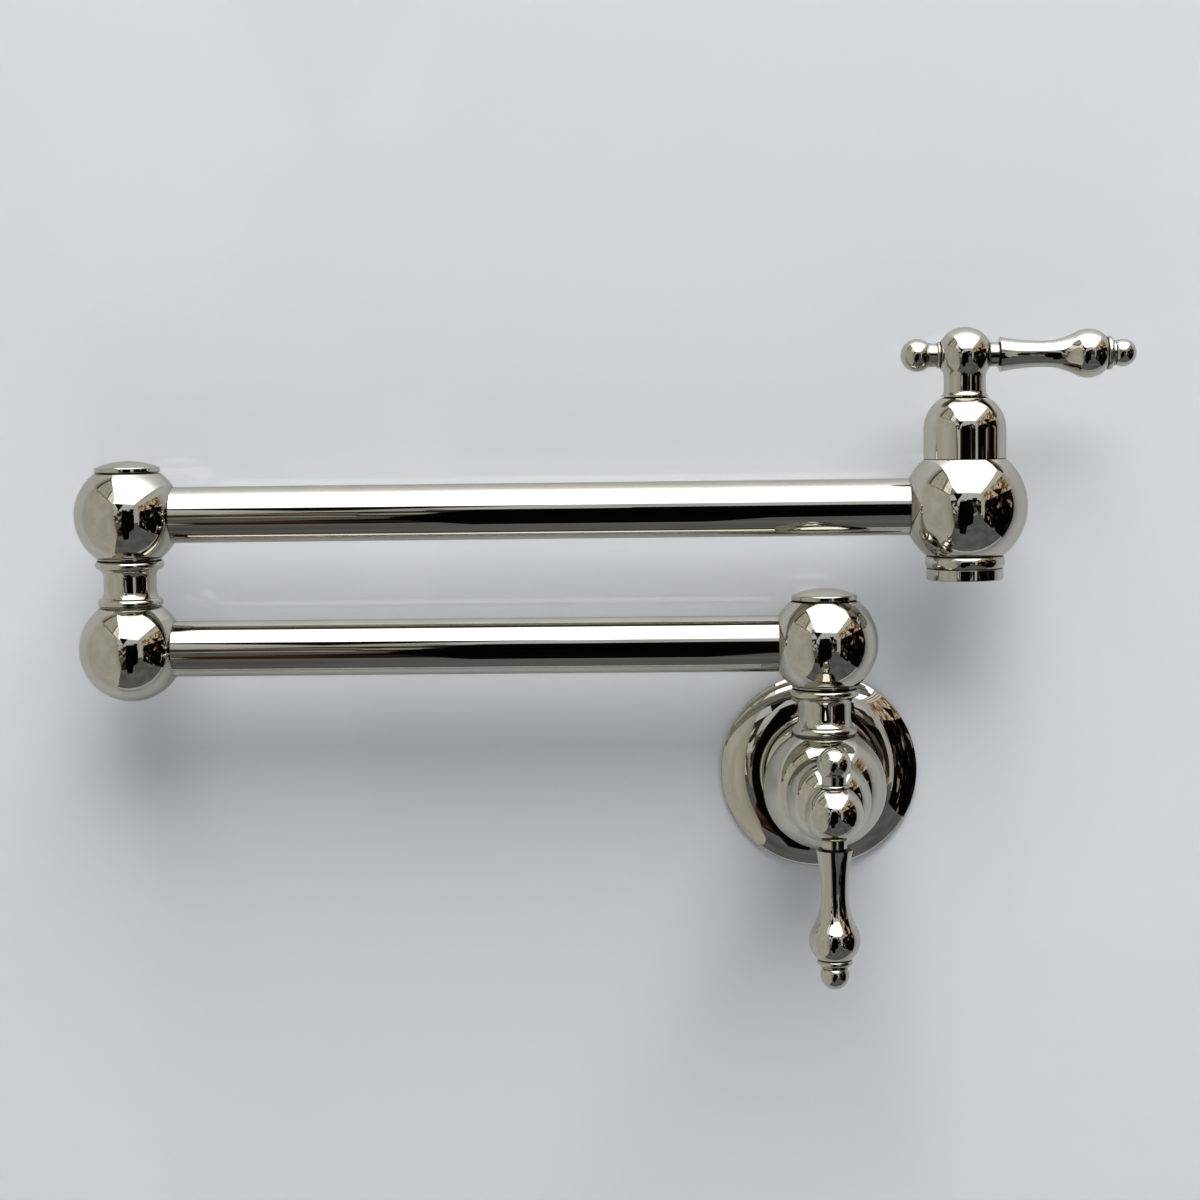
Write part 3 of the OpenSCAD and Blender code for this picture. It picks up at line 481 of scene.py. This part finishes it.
# handles
handle = {"height": 50.25, "ballR": 9.25, "neckR": 6.95, "gap": 0.3, "skirt": 2, "lip": 0.4, "flare": 2,
          "flareAngle": 57, "fillet": 3, "flatR": 4.5, "studR": 2.2, "stud": 3.6, "studRoom": 0.3, "armR": 4,
          "grubR": 2, "grubLift": 3.6, "splineR": 3.4, "splineDrop": 5.9}
hubFoot = bonnetTop + handle["gap"]
hubSeat = halfChord(handle["ballR"], handle["flatR"])


def hubOutline(h):
    skirt, spline, top = bonnetTop - h["skirt"], h["splineR"] + arms["slip"], h["height"] - h["splineDrop"]
    flareAngle = math.radians(h["flareAngle"])
    foot = h["neckR"] + h["flare"] * (1 - math.cos(flareAngle))
    return ([(spline, skirt), (h["neckR"], skirt), (h["neckR"], hubFoot), (foot, hubFoot)]
            + arc(h["neckR"] + h["flare"], hubFoot + h["lip"] + h["flare"] * math.sin(flareAngle), h["flare"],
                  180 + h["flareAngle"], 180)
            + neckToBall(h["height"], h["ballR"], h["neckR"], h["fillet"], 90) + [(0, top), (spline, top)])


def hubCutters(place, h):
    top = place @ at(0, 0, h["height"])
    floor, holeR, clear = hubSeat - h["stud"] - h["studRoom"], h["studR"] + arms["slip"], h["ballR"] + past
    hole = [(0, floor), (holeR, floor), (holeR, hubSeat), (h["ballR"], hubSeat), (h["ballR"], clear),
            (0, clear)]
    grub = place @ at(0, 0, hubFoot + h["grubLift"], (-90, "X"))
    grubHole = rod(h["grubR"] + arms["slip"], 0, h["ballR"])
    return [(hole, top @ alongX), (hole, top @ alongMinusX), (grubHole, grub)]


lever = {"collar": 3.4, "collarEdge": 0.5, "notch": 0.4, "waistR": 4.35, "bulgeR": 8.15, "bulge": 40.6,
         "tipR": 4.6, "taperR": 70, "fillet": 22, "ring": 1.05, "ringHalf": 1.1, "step": 0.7, "stepIn": 0.3,
         "tipIn": 0.5}


def leverOutline(v, h):
    collarX = hubSeat + v["collar"]
    waistX = v["bulge"] - halfChord(v["bulgeR"] + v["fillet"], v["waistR"] + v["fillet"])
    taper = math.degrees(math.asin((waistX - collarX) / v["taperR"]))
    ringR = v["tipR"] + v["ring"]
    ringX = v["bulge"] + halfChord(v["bulgeR"], ringR)
    stepR, stepX = v["tipR"] - v["stepIn"], ringX + 2 * v["ringHalf"]
    tipNeck = stepR - v["tipIn"]
    tipX = stepX + v["step"] + halfChord(v["tipR"], tipNeck)
    ringAngle = math.degrees(math.acos(ringR / v["bulgeR"]))
    return ([(0, hubSeat - h["stud"]), (h["studR"], hubSeat - h["stud"]), (h["studR"], hubSeat),
             (h["armR"], hubSeat), (h["armR"], collarX - v["collarEdge"]),
             (h["armR"] - v["notch"], collarX - v["notch"]), (h["armR"] - v["notch"], collarX)]
            + arc(v["waistR"] + v["taperR"], waistX, v["taperR"], 180 + taper, 180, 1)
            + neckToBall(v["bulge"], v["bulgeR"], v["waistR"], v["fillet"], ringAngle)
            + arc(ringR - v["ringHalf"], ringX + v["ringHalf"], v["ringHalf"], -60, 90, 8)
            + [(stepR, stepX), (stepR, stepX + v["step"])]
            + arc(0, tipX, v["tipR"], -math.degrees(math.acos(tipNeck / v["tipR"])), 90))


finial = {"ringR": 4.45, "ringHalf": 0.6, "fillet": 0.5, "ballR": 5.45, "reach": 15.85}


def finialOutline(f, h):
    return ([(0, hubSeat - h["stud"]), (h["studR"], hubSeat - h["stud"]), (h["studR"], hubSeat)]
            + arc(f["ringR"] - f["ringHalf"], hubSeat + f["ringHalf"], f["ringHalf"], -90, 90, 10)
            + neckToBall(f["reach"], f["ballR"], h["armR"], f["fillet"], 90))


# what the wall valve's ball loses on top: a flat for the neck, the hole for its tenon and the waterway
topCuts = {"flatR": 16, "above": 6, "room": 0.4, "waterFrom": 1}
above, tenonFloor = valveSeat + topCuts["above"], valveSeat - neck["tenon"] - topCuts["room"]
flatTop = rod(topCuts["flatR"], valveSeat, above)
tenonHole = rod(neck["tenonR"] + arms["slip"], tenonFloor, above)
waterHole = rod(valve["portR"], topCuts["waterFrom"], valveSeat)
upFromWallValve = at(0, armY, 0)
turned("wall_valve_ball", wallBodyOutline(valve), atWallValve, "wall_body", "wall_valve_body",
       [(flatTop, upFromWallValve), (tenonHole, upFromWallValve), (waterHole, upFromWallValve)])
turned("end_valve_ball", endBodyOutline(valve), atEnd, "upper_arm", "end_valve_body",
       [(socketCutter(ball["valveR"]), atEnd @ alongMinusX)])
for side, place, body, fixed in (("wall", atWallHandle, "wall_handle", "wall_body"),
                                 ("end", atEnd, "end_handle", "upper_arm")):
    onBall = place @ at(0, 0, handle["height"])
    turned(side + "_bonnet_turned", bonnetOutline(valve), place, fixed, side + "_bonnet")
    turned(side + "_hub_turned", hubOutline(handle), place, body, side + "_hub", hubCutters(place, handle))
    turned(side + "_lever_turned", leverOutline(lever, handle), onBall @ alongX, body, side + "_lever",
           segments=96)
    turned(side + "_finial_turned", finialOutline(finial, handle), onBall @ alongMinusX, body,
           side + "_finial", segments=96)
print("valves and handles ready")


# outlet
outlet = {"ringR": 13.3, "swell": 0.6, "seam": 0.5, "gap": 0.3, "shellR": 12.8, "shell": 3.8, "edge": 0.4,
          "boreR": 7.0, "seatR": 9.4, "floor": 0.8, "threadIn": 2}


def bandOutline(o):
    foot, height = valve["outletSeat"] + o["gap"], valve["pipe"] + o["seam"] - 2 * o["gap"]
    roundR = (height ** 2 / 4 + o["swell"] ** 2) / (2 * o["swell"])
    half = math.degrees(math.asin(height / 2 / roundR))
    inner = valve["pipeR"] + arms["slip"]
    return ([(inner, foot)] + arc(o["ringR"] - roundR, foot + height / 2, roundR, -half, half)
            + [(inner, foot + height)])


def shellOutline(o):
    start, inside = valve["outletSeat"] + valve["pipe"] + o["seam"], valve["outletSeat"] - o["threadIn"]
    end, threadR = start + o["shell"], valve["threadR"] - arms["slip"]
    return ([(o["boreR"], inside), (threadR, inside), (threadR, start),
             (o["shellR"] - o["edge"] / 2, start), (o["shellR"], start + o["edge"] / 2)]
            + arc(o["shellR"] - o["edge"], end - o["edge"], o["edge"], 0, 90, 15)
            + [(o["seatR"], end), (o["seatR"], start + o["floor"]), (o["boreR"], start + o["floor"])])


turned("outlet_ring_turned", bandOutline(outlet), atOutlet, "upper_arm", "outlet_ring")
turned("aerator_shell_turned", shellOutline(outlet), atOutlet, "upper_arm", "aerator_housing")


# wall plate
cover = {"r": 34.5, "back": 1, "rim": 1.4, "edge": 0.5, "tilts": (42, 19, 3), "steepShare": 0.4,
         "beadR": 21.1, "beadRound": 0.85, "quirk": 0.35, "crownTilts": (38, 5), "neckR": 14.4,
         "fillet": 0.5, "depth": 12, "chamfer": 0.3, "wall": 1.6, "rimWall": 2.2, "lip": 1.2, "collarR": 15.5,
         "collarRoom": 1, "grooveW": 1.6, "grooveDepth": 1.4}


def leaning(foot, r, start, end, step=1):
    # an arc that leans from one tilt to another, and the point where it ends
    centre = (foot[0] - r * math.sin(math.radians(start)), foot[1] - r * math.cos(math.radians(start)))
    points = arc(*centre, r, 90 - start, 90 - end, step)
    return points, points[-1]


def coverOutline(c):
    rim, middle, flat = c["tilts"]
    sinRim, sinMiddle, sinFlat = (math.sin(math.radians(t)) for t in c["tilts"])
    foot = (c["r"] - c["edge"] * (1 - sinRim),
            c["back"] + c["rim"] + c["edge"] * math.cos(math.radians(rim)))
    width = foot[0] - c["beadR"] - c["quirk"]
    steep, turn = leaning(foot, c["steepShare"] * width / (sinRim - sinMiddle), rim, middle)
    dome, top = leaning(turn, (1 - c["steepShare"]) * width / (sinMiddle - sinFlat), middle, flat)
    crownFoot = (c["beadR"] - 2 * c["beadRound"], top[1])
    lean = [math.sin(math.radians(t)) for t in c["crownTilts"]]
    crownR = (crownFoot[0] - c["neckR"] - c["fillet"]) / (lean[0] - lean[1])
    crown, crownTop = leaning(crownFoot, crownR, *c["crownTilts"])
    grip, back, depth = valve["shankR"] + arms["slip"], crownTop[1] - c["wall"], c["depth"]
    groove, half, innerRim = (back + depth) / 2, c["grooveW"] / 2, c["r"] - c["rimWall"]
    return ([(c["r"] - c["chamfer"], c["back"]), (c["r"], c["back"] + c["chamfer"])]
            + arc(c["r"] - c["edge"], c["back"] + c["rim"], c["edge"], 0, 90 - rim, 8) + steep + dome
            + [(top[0], top[1] - c["quirk"]), (c["beadR"], top[1] - c["quirk"])]
            + arc(c["beadR"] - c["beadRound"], top[1], c["beadRound"], 0, 180, 8) + crown
            + arc(c["neckR"] + c["fillet"], crownTop[1] + c["fillet"], c["fillet"], 270, 180, 15)
            + arc(c["neckR"] - c["edge"], depth - c["edge"], c["edge"], 0, 90, 15)
            + [(grip + c["chamfer"], depth), (grip, depth - c["chamfer"]), (grip, groove + half),
               (grip + c["grooveDepth"], groove + half), (grip + c["grooveDepth"], groove - half),
               (grip, groove - half), (grip, back), (c["collarR"] + c["collarRoom"], back),
               (crownFoot[0], top[1] - c["wall"]), (top[0], top[1] - c["wall"]),
               (turn[0] - c["edge"], turn[1] - c["wall"]), (innerRim, c["back"] + c["lip"]),
               (innerRim, c["back"])])


turned("escutcheon_turned", coverOutline(cover), atWall, "wall_body", "escutcheon", segments=192)
print("outlet and wall plate ready")


def tile(name, look):
    # plain pale tile with a soft gloss, seen from its front only, so the views from behind look past it
    material, tree = newMaterial(name)
    place = addNode(tree, "ShaderNodeTexCoord").outputs["Object"]
    grain = addNode(tree, "ShaderNodeTexNoise", {"Scale": perMetre(look["grain"]), "Detail": 3.0},
                    {"Vector": place})
    bump = addNode(tree, "ShaderNodeBump", {"Strength": look["strength"], "Distance": look["bump"] * mm},
                   {"Height": grain.outputs["Fac"]})
    front = addNode(tree, "ShaderNodeBsdfPrincipled",
                    {"Base Color": linear(look["colour"]), "Roughness": look["roughness"]},
                    {"Normal": bump.outputs["Normal"]})
    back = addNode(tree, "ShaderNodeBsdfTransparent")
    side = addNode(tree, "ShaderNodeNewGeometry").outputs["Backfacing"]
    mix = addNode(tree, "ShaderNodeMixShader", {}, {0: side, 1: front.outputs[0], 2: back.outputs[0]})
    addNode(tree, "ShaderNodeOutputMaterial", {}, {"Surface": mix.outputs[0]})
    return material


def glow(name, look):
    # what a card sends into the polish: colours in soft patches or in blocks, and a fade to one side
    material, tree = newMaterial(name)
    place = addNode(tree, "ShaderNodeTexCoord").outputs["Object"]
    if "blocks" in look:
        cells = addNode(tree, "ShaderNodeTexVoronoi",
                        {"distance": "CHEBYCHEV", "Scale": perMetre(look["blocks"])}, {"Vector": place})
        field = addNode(tree, "ShaderNodeSeparateColor", {}, {0: cells.outputs["Color"]}).outputs[0]
    elif "bands" in look:
        waves = perMetre(look["bands"]) * math.pi / 10  # the node's wave is sin(20 * scale * z)
        field = addNode(tree, "ShaderNodeTexWave",
                        {"bands_direction": "Z", "Scale": waves, "Distortion": 0.6, "Detail": 2.0},
                        {"Vector": place}).outputs["Fac"]
    else:
        field = addNode(tree, "ShaderNodeTexNoise", {"Scale": perMetre(look["patches"]), "Detail": 2.0},
                        {"Vector": place}).outputs["Fac"]
    ramp = addNode(tree, "ShaderNodeValToRGB", {}, {"Fac": field})
    stops = ramp.color_ramp.elements
    while len(stops) < len(look["stops"]):
        stops.new(0.5)
    for stop, (share, code) in zip(stops, look["stops"]):
        stop.position, stop.color = share, linear(code)
    colour = ramp.outputs["Color"]
    if "fade" in look:
        axis, start, end, code = look["fade"]
        along = addNode(tree, "ShaderNodeSeparateXYZ", {}, {0: place}).outputs[axis]
        share = addNode(tree, "ShaderNodeMapRange",
                        {"interpolation_type": "SMOOTHSTEP", "From Min": start, "From Max": end},
                        {"Value": along}).outputs[0]
        colour = addNode(tree, "ShaderNodeMix", {"data_type": "RGBA", 7: linear(code)},
                         {0: share, 6: colour}).outputs[2]
    light = addNode(tree, "ShaderNodeEmission", {"Strength": look.get("strength", 1.0)}, {"Color": colour})
    addNode(tree, "ShaderNodeOutputMaterial", {}, {"Surface": light.outputs[0]})
    return material


def upright(start, end, low, high):
    # corners of a standing card over a line on the ground plan
    return [(*start, low), (*end, low), (*end, high), (*start, high)]


def level(left, right, near, far, z):
    # corners of a card that lies flat
    return [(left, near, z), (right, near, z), (right, far, z), (left, far, z)]


def shade(x, y, half, turn, low, high):
    # corners of a card that is wide above and narrow below
    dx, dy = half * math.cos(math.radians(turn)), half * math.sin(math.radians(turn))
    return [(x, y, low), (x + dx, y + dy, high), (x - dx, y - dy, high)]


# what stands round the part, in metres, but with grain, bump and pattern sizes in mm: a pale tile backdrop,
# two soft lamps, and bright, pale and dark cards that only the polish mirrors
sideLine = ((1.0, 0), (0.97, -1.65))
farLine = ((-4.4, -5.6), (2.45, -5.6))
darkStops = ((0.3, "#0c0b0a"), (0.7, "#1a1815"))
studio = {
    "tile": {"colour": "#dfe2e5", "roughness": 0.05, "grain": 6, "strength": 0.2, "bump": 0.03},
    "hole": 0.0335, "top": 3.0, "floorZ": -1.5, "half": 4.5, "depth": 6.0, "bend": 0.3,
    "lamps": {
        "ceilingLamp": {"place": (0.4, -2.1, 2.65), "aim": (0.4, -2.1, 0), "size": (2.6, 3.2), "power": 168},
        "backLamp": {"place": (-0.1, 2.4, 1.2), "aim": (-0.1, 0, 0), "size": (2, 2), "power": 40},
    },
    "world": {"colour": "#e9ebee", "light": 0.19, "seen": 0.7},
    "cards": {
        "ceiling": {"corners": level(-1.9, 2.45, 0, -5.6, 2.7), "patches": 900, "strength": 3.6,
                    "stops": ((0.3, "#ffffff"), (0.7, "#eef1f6")), "fade": (1, -4.3, -5.7, "#7a7d80")},
        "soffit": {"corners": level(-4.4, -1.9, 0, -5.6, 2.7), "patches": 900,
                   "stops": ((0.3, "#a5a196"), (0.7, "#8f8b80"))},
        "board": {"corners": [(-1.02, 0, 0.72), (-0.54, -0.9, 0.46), (-0.545, -1.1, 0.09),
                              (-0.48, -1.05, -0.65), (-0.72, -0.98, -1.3), (-0.87, 0, -1.6)],
                  "patches": 260, "stops": ((0.3, "#cccac0"), (0.7, "#b9b9af")),
                  "fade": (1, -0.72, -1.12, "#a19c89")},
        "ledge": {"corners": [(-1.01, 0, 0.7), (-0.535, -0.9, 0.44), (-0.535, -0.9, 0.475), (-1.01, 0, 0.76)],
                  "patches": 200, "stops": ((0.3, "#e4e0cf"), (0.7, "#a7a18a"))},
        "frame": {"corners": [(-1.02, 0, 0.74), (-0.55, -0.93, 0.47), (-0.56, -0.97, 0.9),
                              (-0.71, -0.8, 1.26), (-0.854, -0.58, 1.62), (-1.02, 0, 1.94)],
                  "patches": 150, "stops": ((0.3, "#a09a7e"), (0.7, "#877f64"))},
        "dullPane": {"corners": [(-0.93, -0.12, 0.73), (-0.66, -0.56, 0.59), (-0.66, -0.56, 1.2),
                                 (-0.8, -0.37, 1.43), (-0.93, -0.12, 1.6)],
                     "patches": 120, "stops": ((0.35, "#c9cbc0"), (0.65, "#a9aa9a"))},
        "brightPane": {"corners": [(-0.67, -0.65, 0.6), (-0.53, -0.88, 0.51), (-0.54, -0.93, 0.86),
                                   (-0.67, -0.72, 1.2)],
                       "patches": 90, "stops": ((0.35, "#ffffff"), (0.6, "#cfc8bb")), "strength": 1.5},
        "curtain": {"corners": upright((-0.93, -0.02), (-0.93, -0.1), 0.74, 1.66), "patches": 60,
                    "stops": ((0.35, "#3b3021"), (0.65, "#7c6b4e"))},
        "shelf": {"corners": upright(*sideLine, -0.72, 0.44), "blocks": 130, "strength": 0.8,
                  "stops": ((0.0, "#050505"), (0.78, "#0d0b0a"), (0.88, "#2e231a"), (0.95, "#7b604c"),
                            (0.99, "#b9ab9b"))},
        "goods": {"corners": upright(*sideLine, 0.44, 0.86), "blocks": 110,
                  "stops": ((0.1, "#6d5333"), (0.35, "#b08a55"), (0.6, "#e6d2bd"), (0.8, "#f4e6dc"),
                            (0.95, "#8e8a70"))},
        "rails": {"corners": upright(*sideLine, 0.86, 1.04), "bands": 62,
                  "stops": ((0.25, "#8b8672"), (0.6, "#ece9e0")), "strength": 1.2},
        "farDark": {"corners": upright(*farLine, -1.4, 1.5), "blocks": 520,
                    "stops": ((0.1, "#0c0b0a"), (0.4, "#3d352b"), (0.65, "#6a6152"), (0.85, "#b7b4ab"),
                              (1.0, "#dcdcd8"))},
        "farPale": {"corners": upright(*farLine, 1.5, 2.7), "patches": 700,
                    "stops": ((0.3, "#e4e8f0"), (0.7, "#c2c5c9"))},
        "column": {"corners": upright((0.93, -1.72), (0.97, -1.66), -0.55, 1.04), "patches": 160,
                   "stops": ((0.35, "#d6d3c9"), (0.65, "#99927f"))},
        "flag": {"corners": [(-0.25, -0.94, -0.98), (-0.03, -0.94, -0.98), (0.02, -0.94, -0.52),
                             (0.2, -0.94, -0.4), (0.2, -0.94, 0.12), (0.06, -0.94, 0.3), (-0.2, -0.94, 0.27),
                             (-0.27, -0.94, -0.2)],
                 "patches": 300, "strength": 0.5, "stops": ((0.3, "#060606"), (0.7, "#14120f"))},
        "trunk": {"corners": [(-0.6, -1.2, -0.9), (-0.2, -1.2, -0.9), (-0.2, -1.2, -0.2),
                              (-0.34, -1.2, -0.38), (-0.5, -1.2, -0.55)],
                  "patches": 130, "stops": ((0.3, "#100b08"), (0.5, "#2a1d14"), (0.72, "#5f432b"))},
        "leftShade": {"corners": shade(-0.35, -1.15, 0.2, -19, 0.34, 0.66), "patches": 100,
                      "stops": darkStops},
        "middleShade": {"corners": shade(0.36, -1.53, 0.14, 12, 0.2, 0.55), "patches": 100,
                        "stops": darkStops},
        "rightShade": {"corners": shade(0.753, -0.42, 0.17, 63, 0.31, 0.5), "patches": 100,
                       "stops": darkStops},
        "ground": {"corners": level(-4.4, 4.4, 0, -5.6, -1.4), "patches": 700,
                   "stops": ((0.35, "#747577"), (0.65, "#5d5f62")), "fade": (1, -1.6, -3.2, "#676a6e")},
    },
}


def addSheet(name, vertices, faces, material):
    mesh = bpy.data.meshes.new(name)
    mesh.from_pydata(vertices, [], faces)
    mesh.polygons.foreach_set("use_smooth", [True] * len(faces))
    mesh.materials.append(material)
    sheet = addObject(name, mesh)
    return sheet


def addBackdrop(s):
    # a flat wall with the supply pipe's hole, which the wall plate hides, then a rounded corner and the
    # floor; their fronts face the camera
    glazed = tile("glazedTile", s["tile"])
    foot = s["floorZ"] + s["bend"]
    angles = [math.radians(k) for k in range(-180, 180, 6)]
    angles = sorted(angles + [math.atan2(z, x) for z in (foot, s["top"]) for x in (-s["half"], s["half"])])
    wall = []
    for a in angles:
        edge = s["top"] if a > 0 else -foot
        reach = min(s["half"] / max(abs(math.cos(a)), tiny), edge / max(abs(math.sin(a)), tiny))
        wall += [(r * math.cos(a), 0, r * math.sin(a)) for r in (s["hole"], reach)]
    pairs = [(2 * i, 2 * ((i + 1) % len(angles))) for i in range(len(angles))]
    addSheet("tiledWall", wall, [(i, i + 1, j + 1, j) for i, j in pairs], glazed)
    bend = [(s["bend"] * (math.cos(a) - 1), foot - s["bend"] * math.sin(a))
            for a in (math.radians(k) for k in range(0, 91, 10))] + [(-s["depth"], s["floorZ"])]
    floor = [(x, y, z) for y, z in bend for x in (-s["half"], s["half"])]
    strips = [(2 * i, 2 * i + 2, 2 * i + 3, 2 * i + 1) for i in range(len(bend) - 1)]
    addSheet("tiledFloor", floor, strips, glazed)


def addCards(s):
    # only mirror rays meet the cards, so they cast no shadow and give no light of their own
    for name, look in s["cards"].items():
        face = tuple(range(len(look["corners"])))
        card = addSheet(name + "Card", look["corners"], [face], glow(name + "Glow", look))
        card.visible_camera = card.visible_diffuse = card.visible_shadow = card.visible_transmission = False


def addLamps(s):
    for name, lamp in s["lamps"].items():
        data = bpy.data.lights.new(name, "AREA")
        data.shape, data.energy = "RECTANGLE", lamp["power"]
        data.size, data.size_y = lamp["size"]
        thing = addObject(name, data)
        thing.location = lamp["place"]
        forward = Vector(lamp["aim"]) - Vector(lamp["place"])
        thing.rotation_euler = forward.to_track_quat("-Z", "Y").to_euler()
        thing.visible_glossy = False


def addWorld(w):
    # dim as light on matt things, so that shadows stay deep; pale to the camera and in the polish
    world = bpy.data.worlds.new("studio")
    world.use_nodes = True
    tree = world.node_tree
    tree.nodes.clear()
    ray = addNode(tree, "ShaderNodeLightPath").outputs
    shows = addNode(tree, "ShaderNodeMath", {"operation": "MAXIMUM"},
                    {0: ray["Is Camera Ray"], 1: ray["Is Glossy Ray"]})
    dim, pale = (addNode(tree, "ShaderNodeBackground", {"Color": linear(w["colour"]), "Strength": w[key]})
                 for key in ("light", "seen"))
    mix = addNode(tree, "ShaderNodeMixShader", {},
                  {0: shows.outputs[0], 1: dim.outputs[0], 2: pale.outputs[0]})
    addNode(tree, "ShaderNodeOutputWorld", {}, {"Surface": mix.outputs[0]})
    bpy.context.scene.world = world


addBackdrop(studio)
addCards(studio)
addLamps(studio)
addWorld(studio["world"])
print("studio ready")
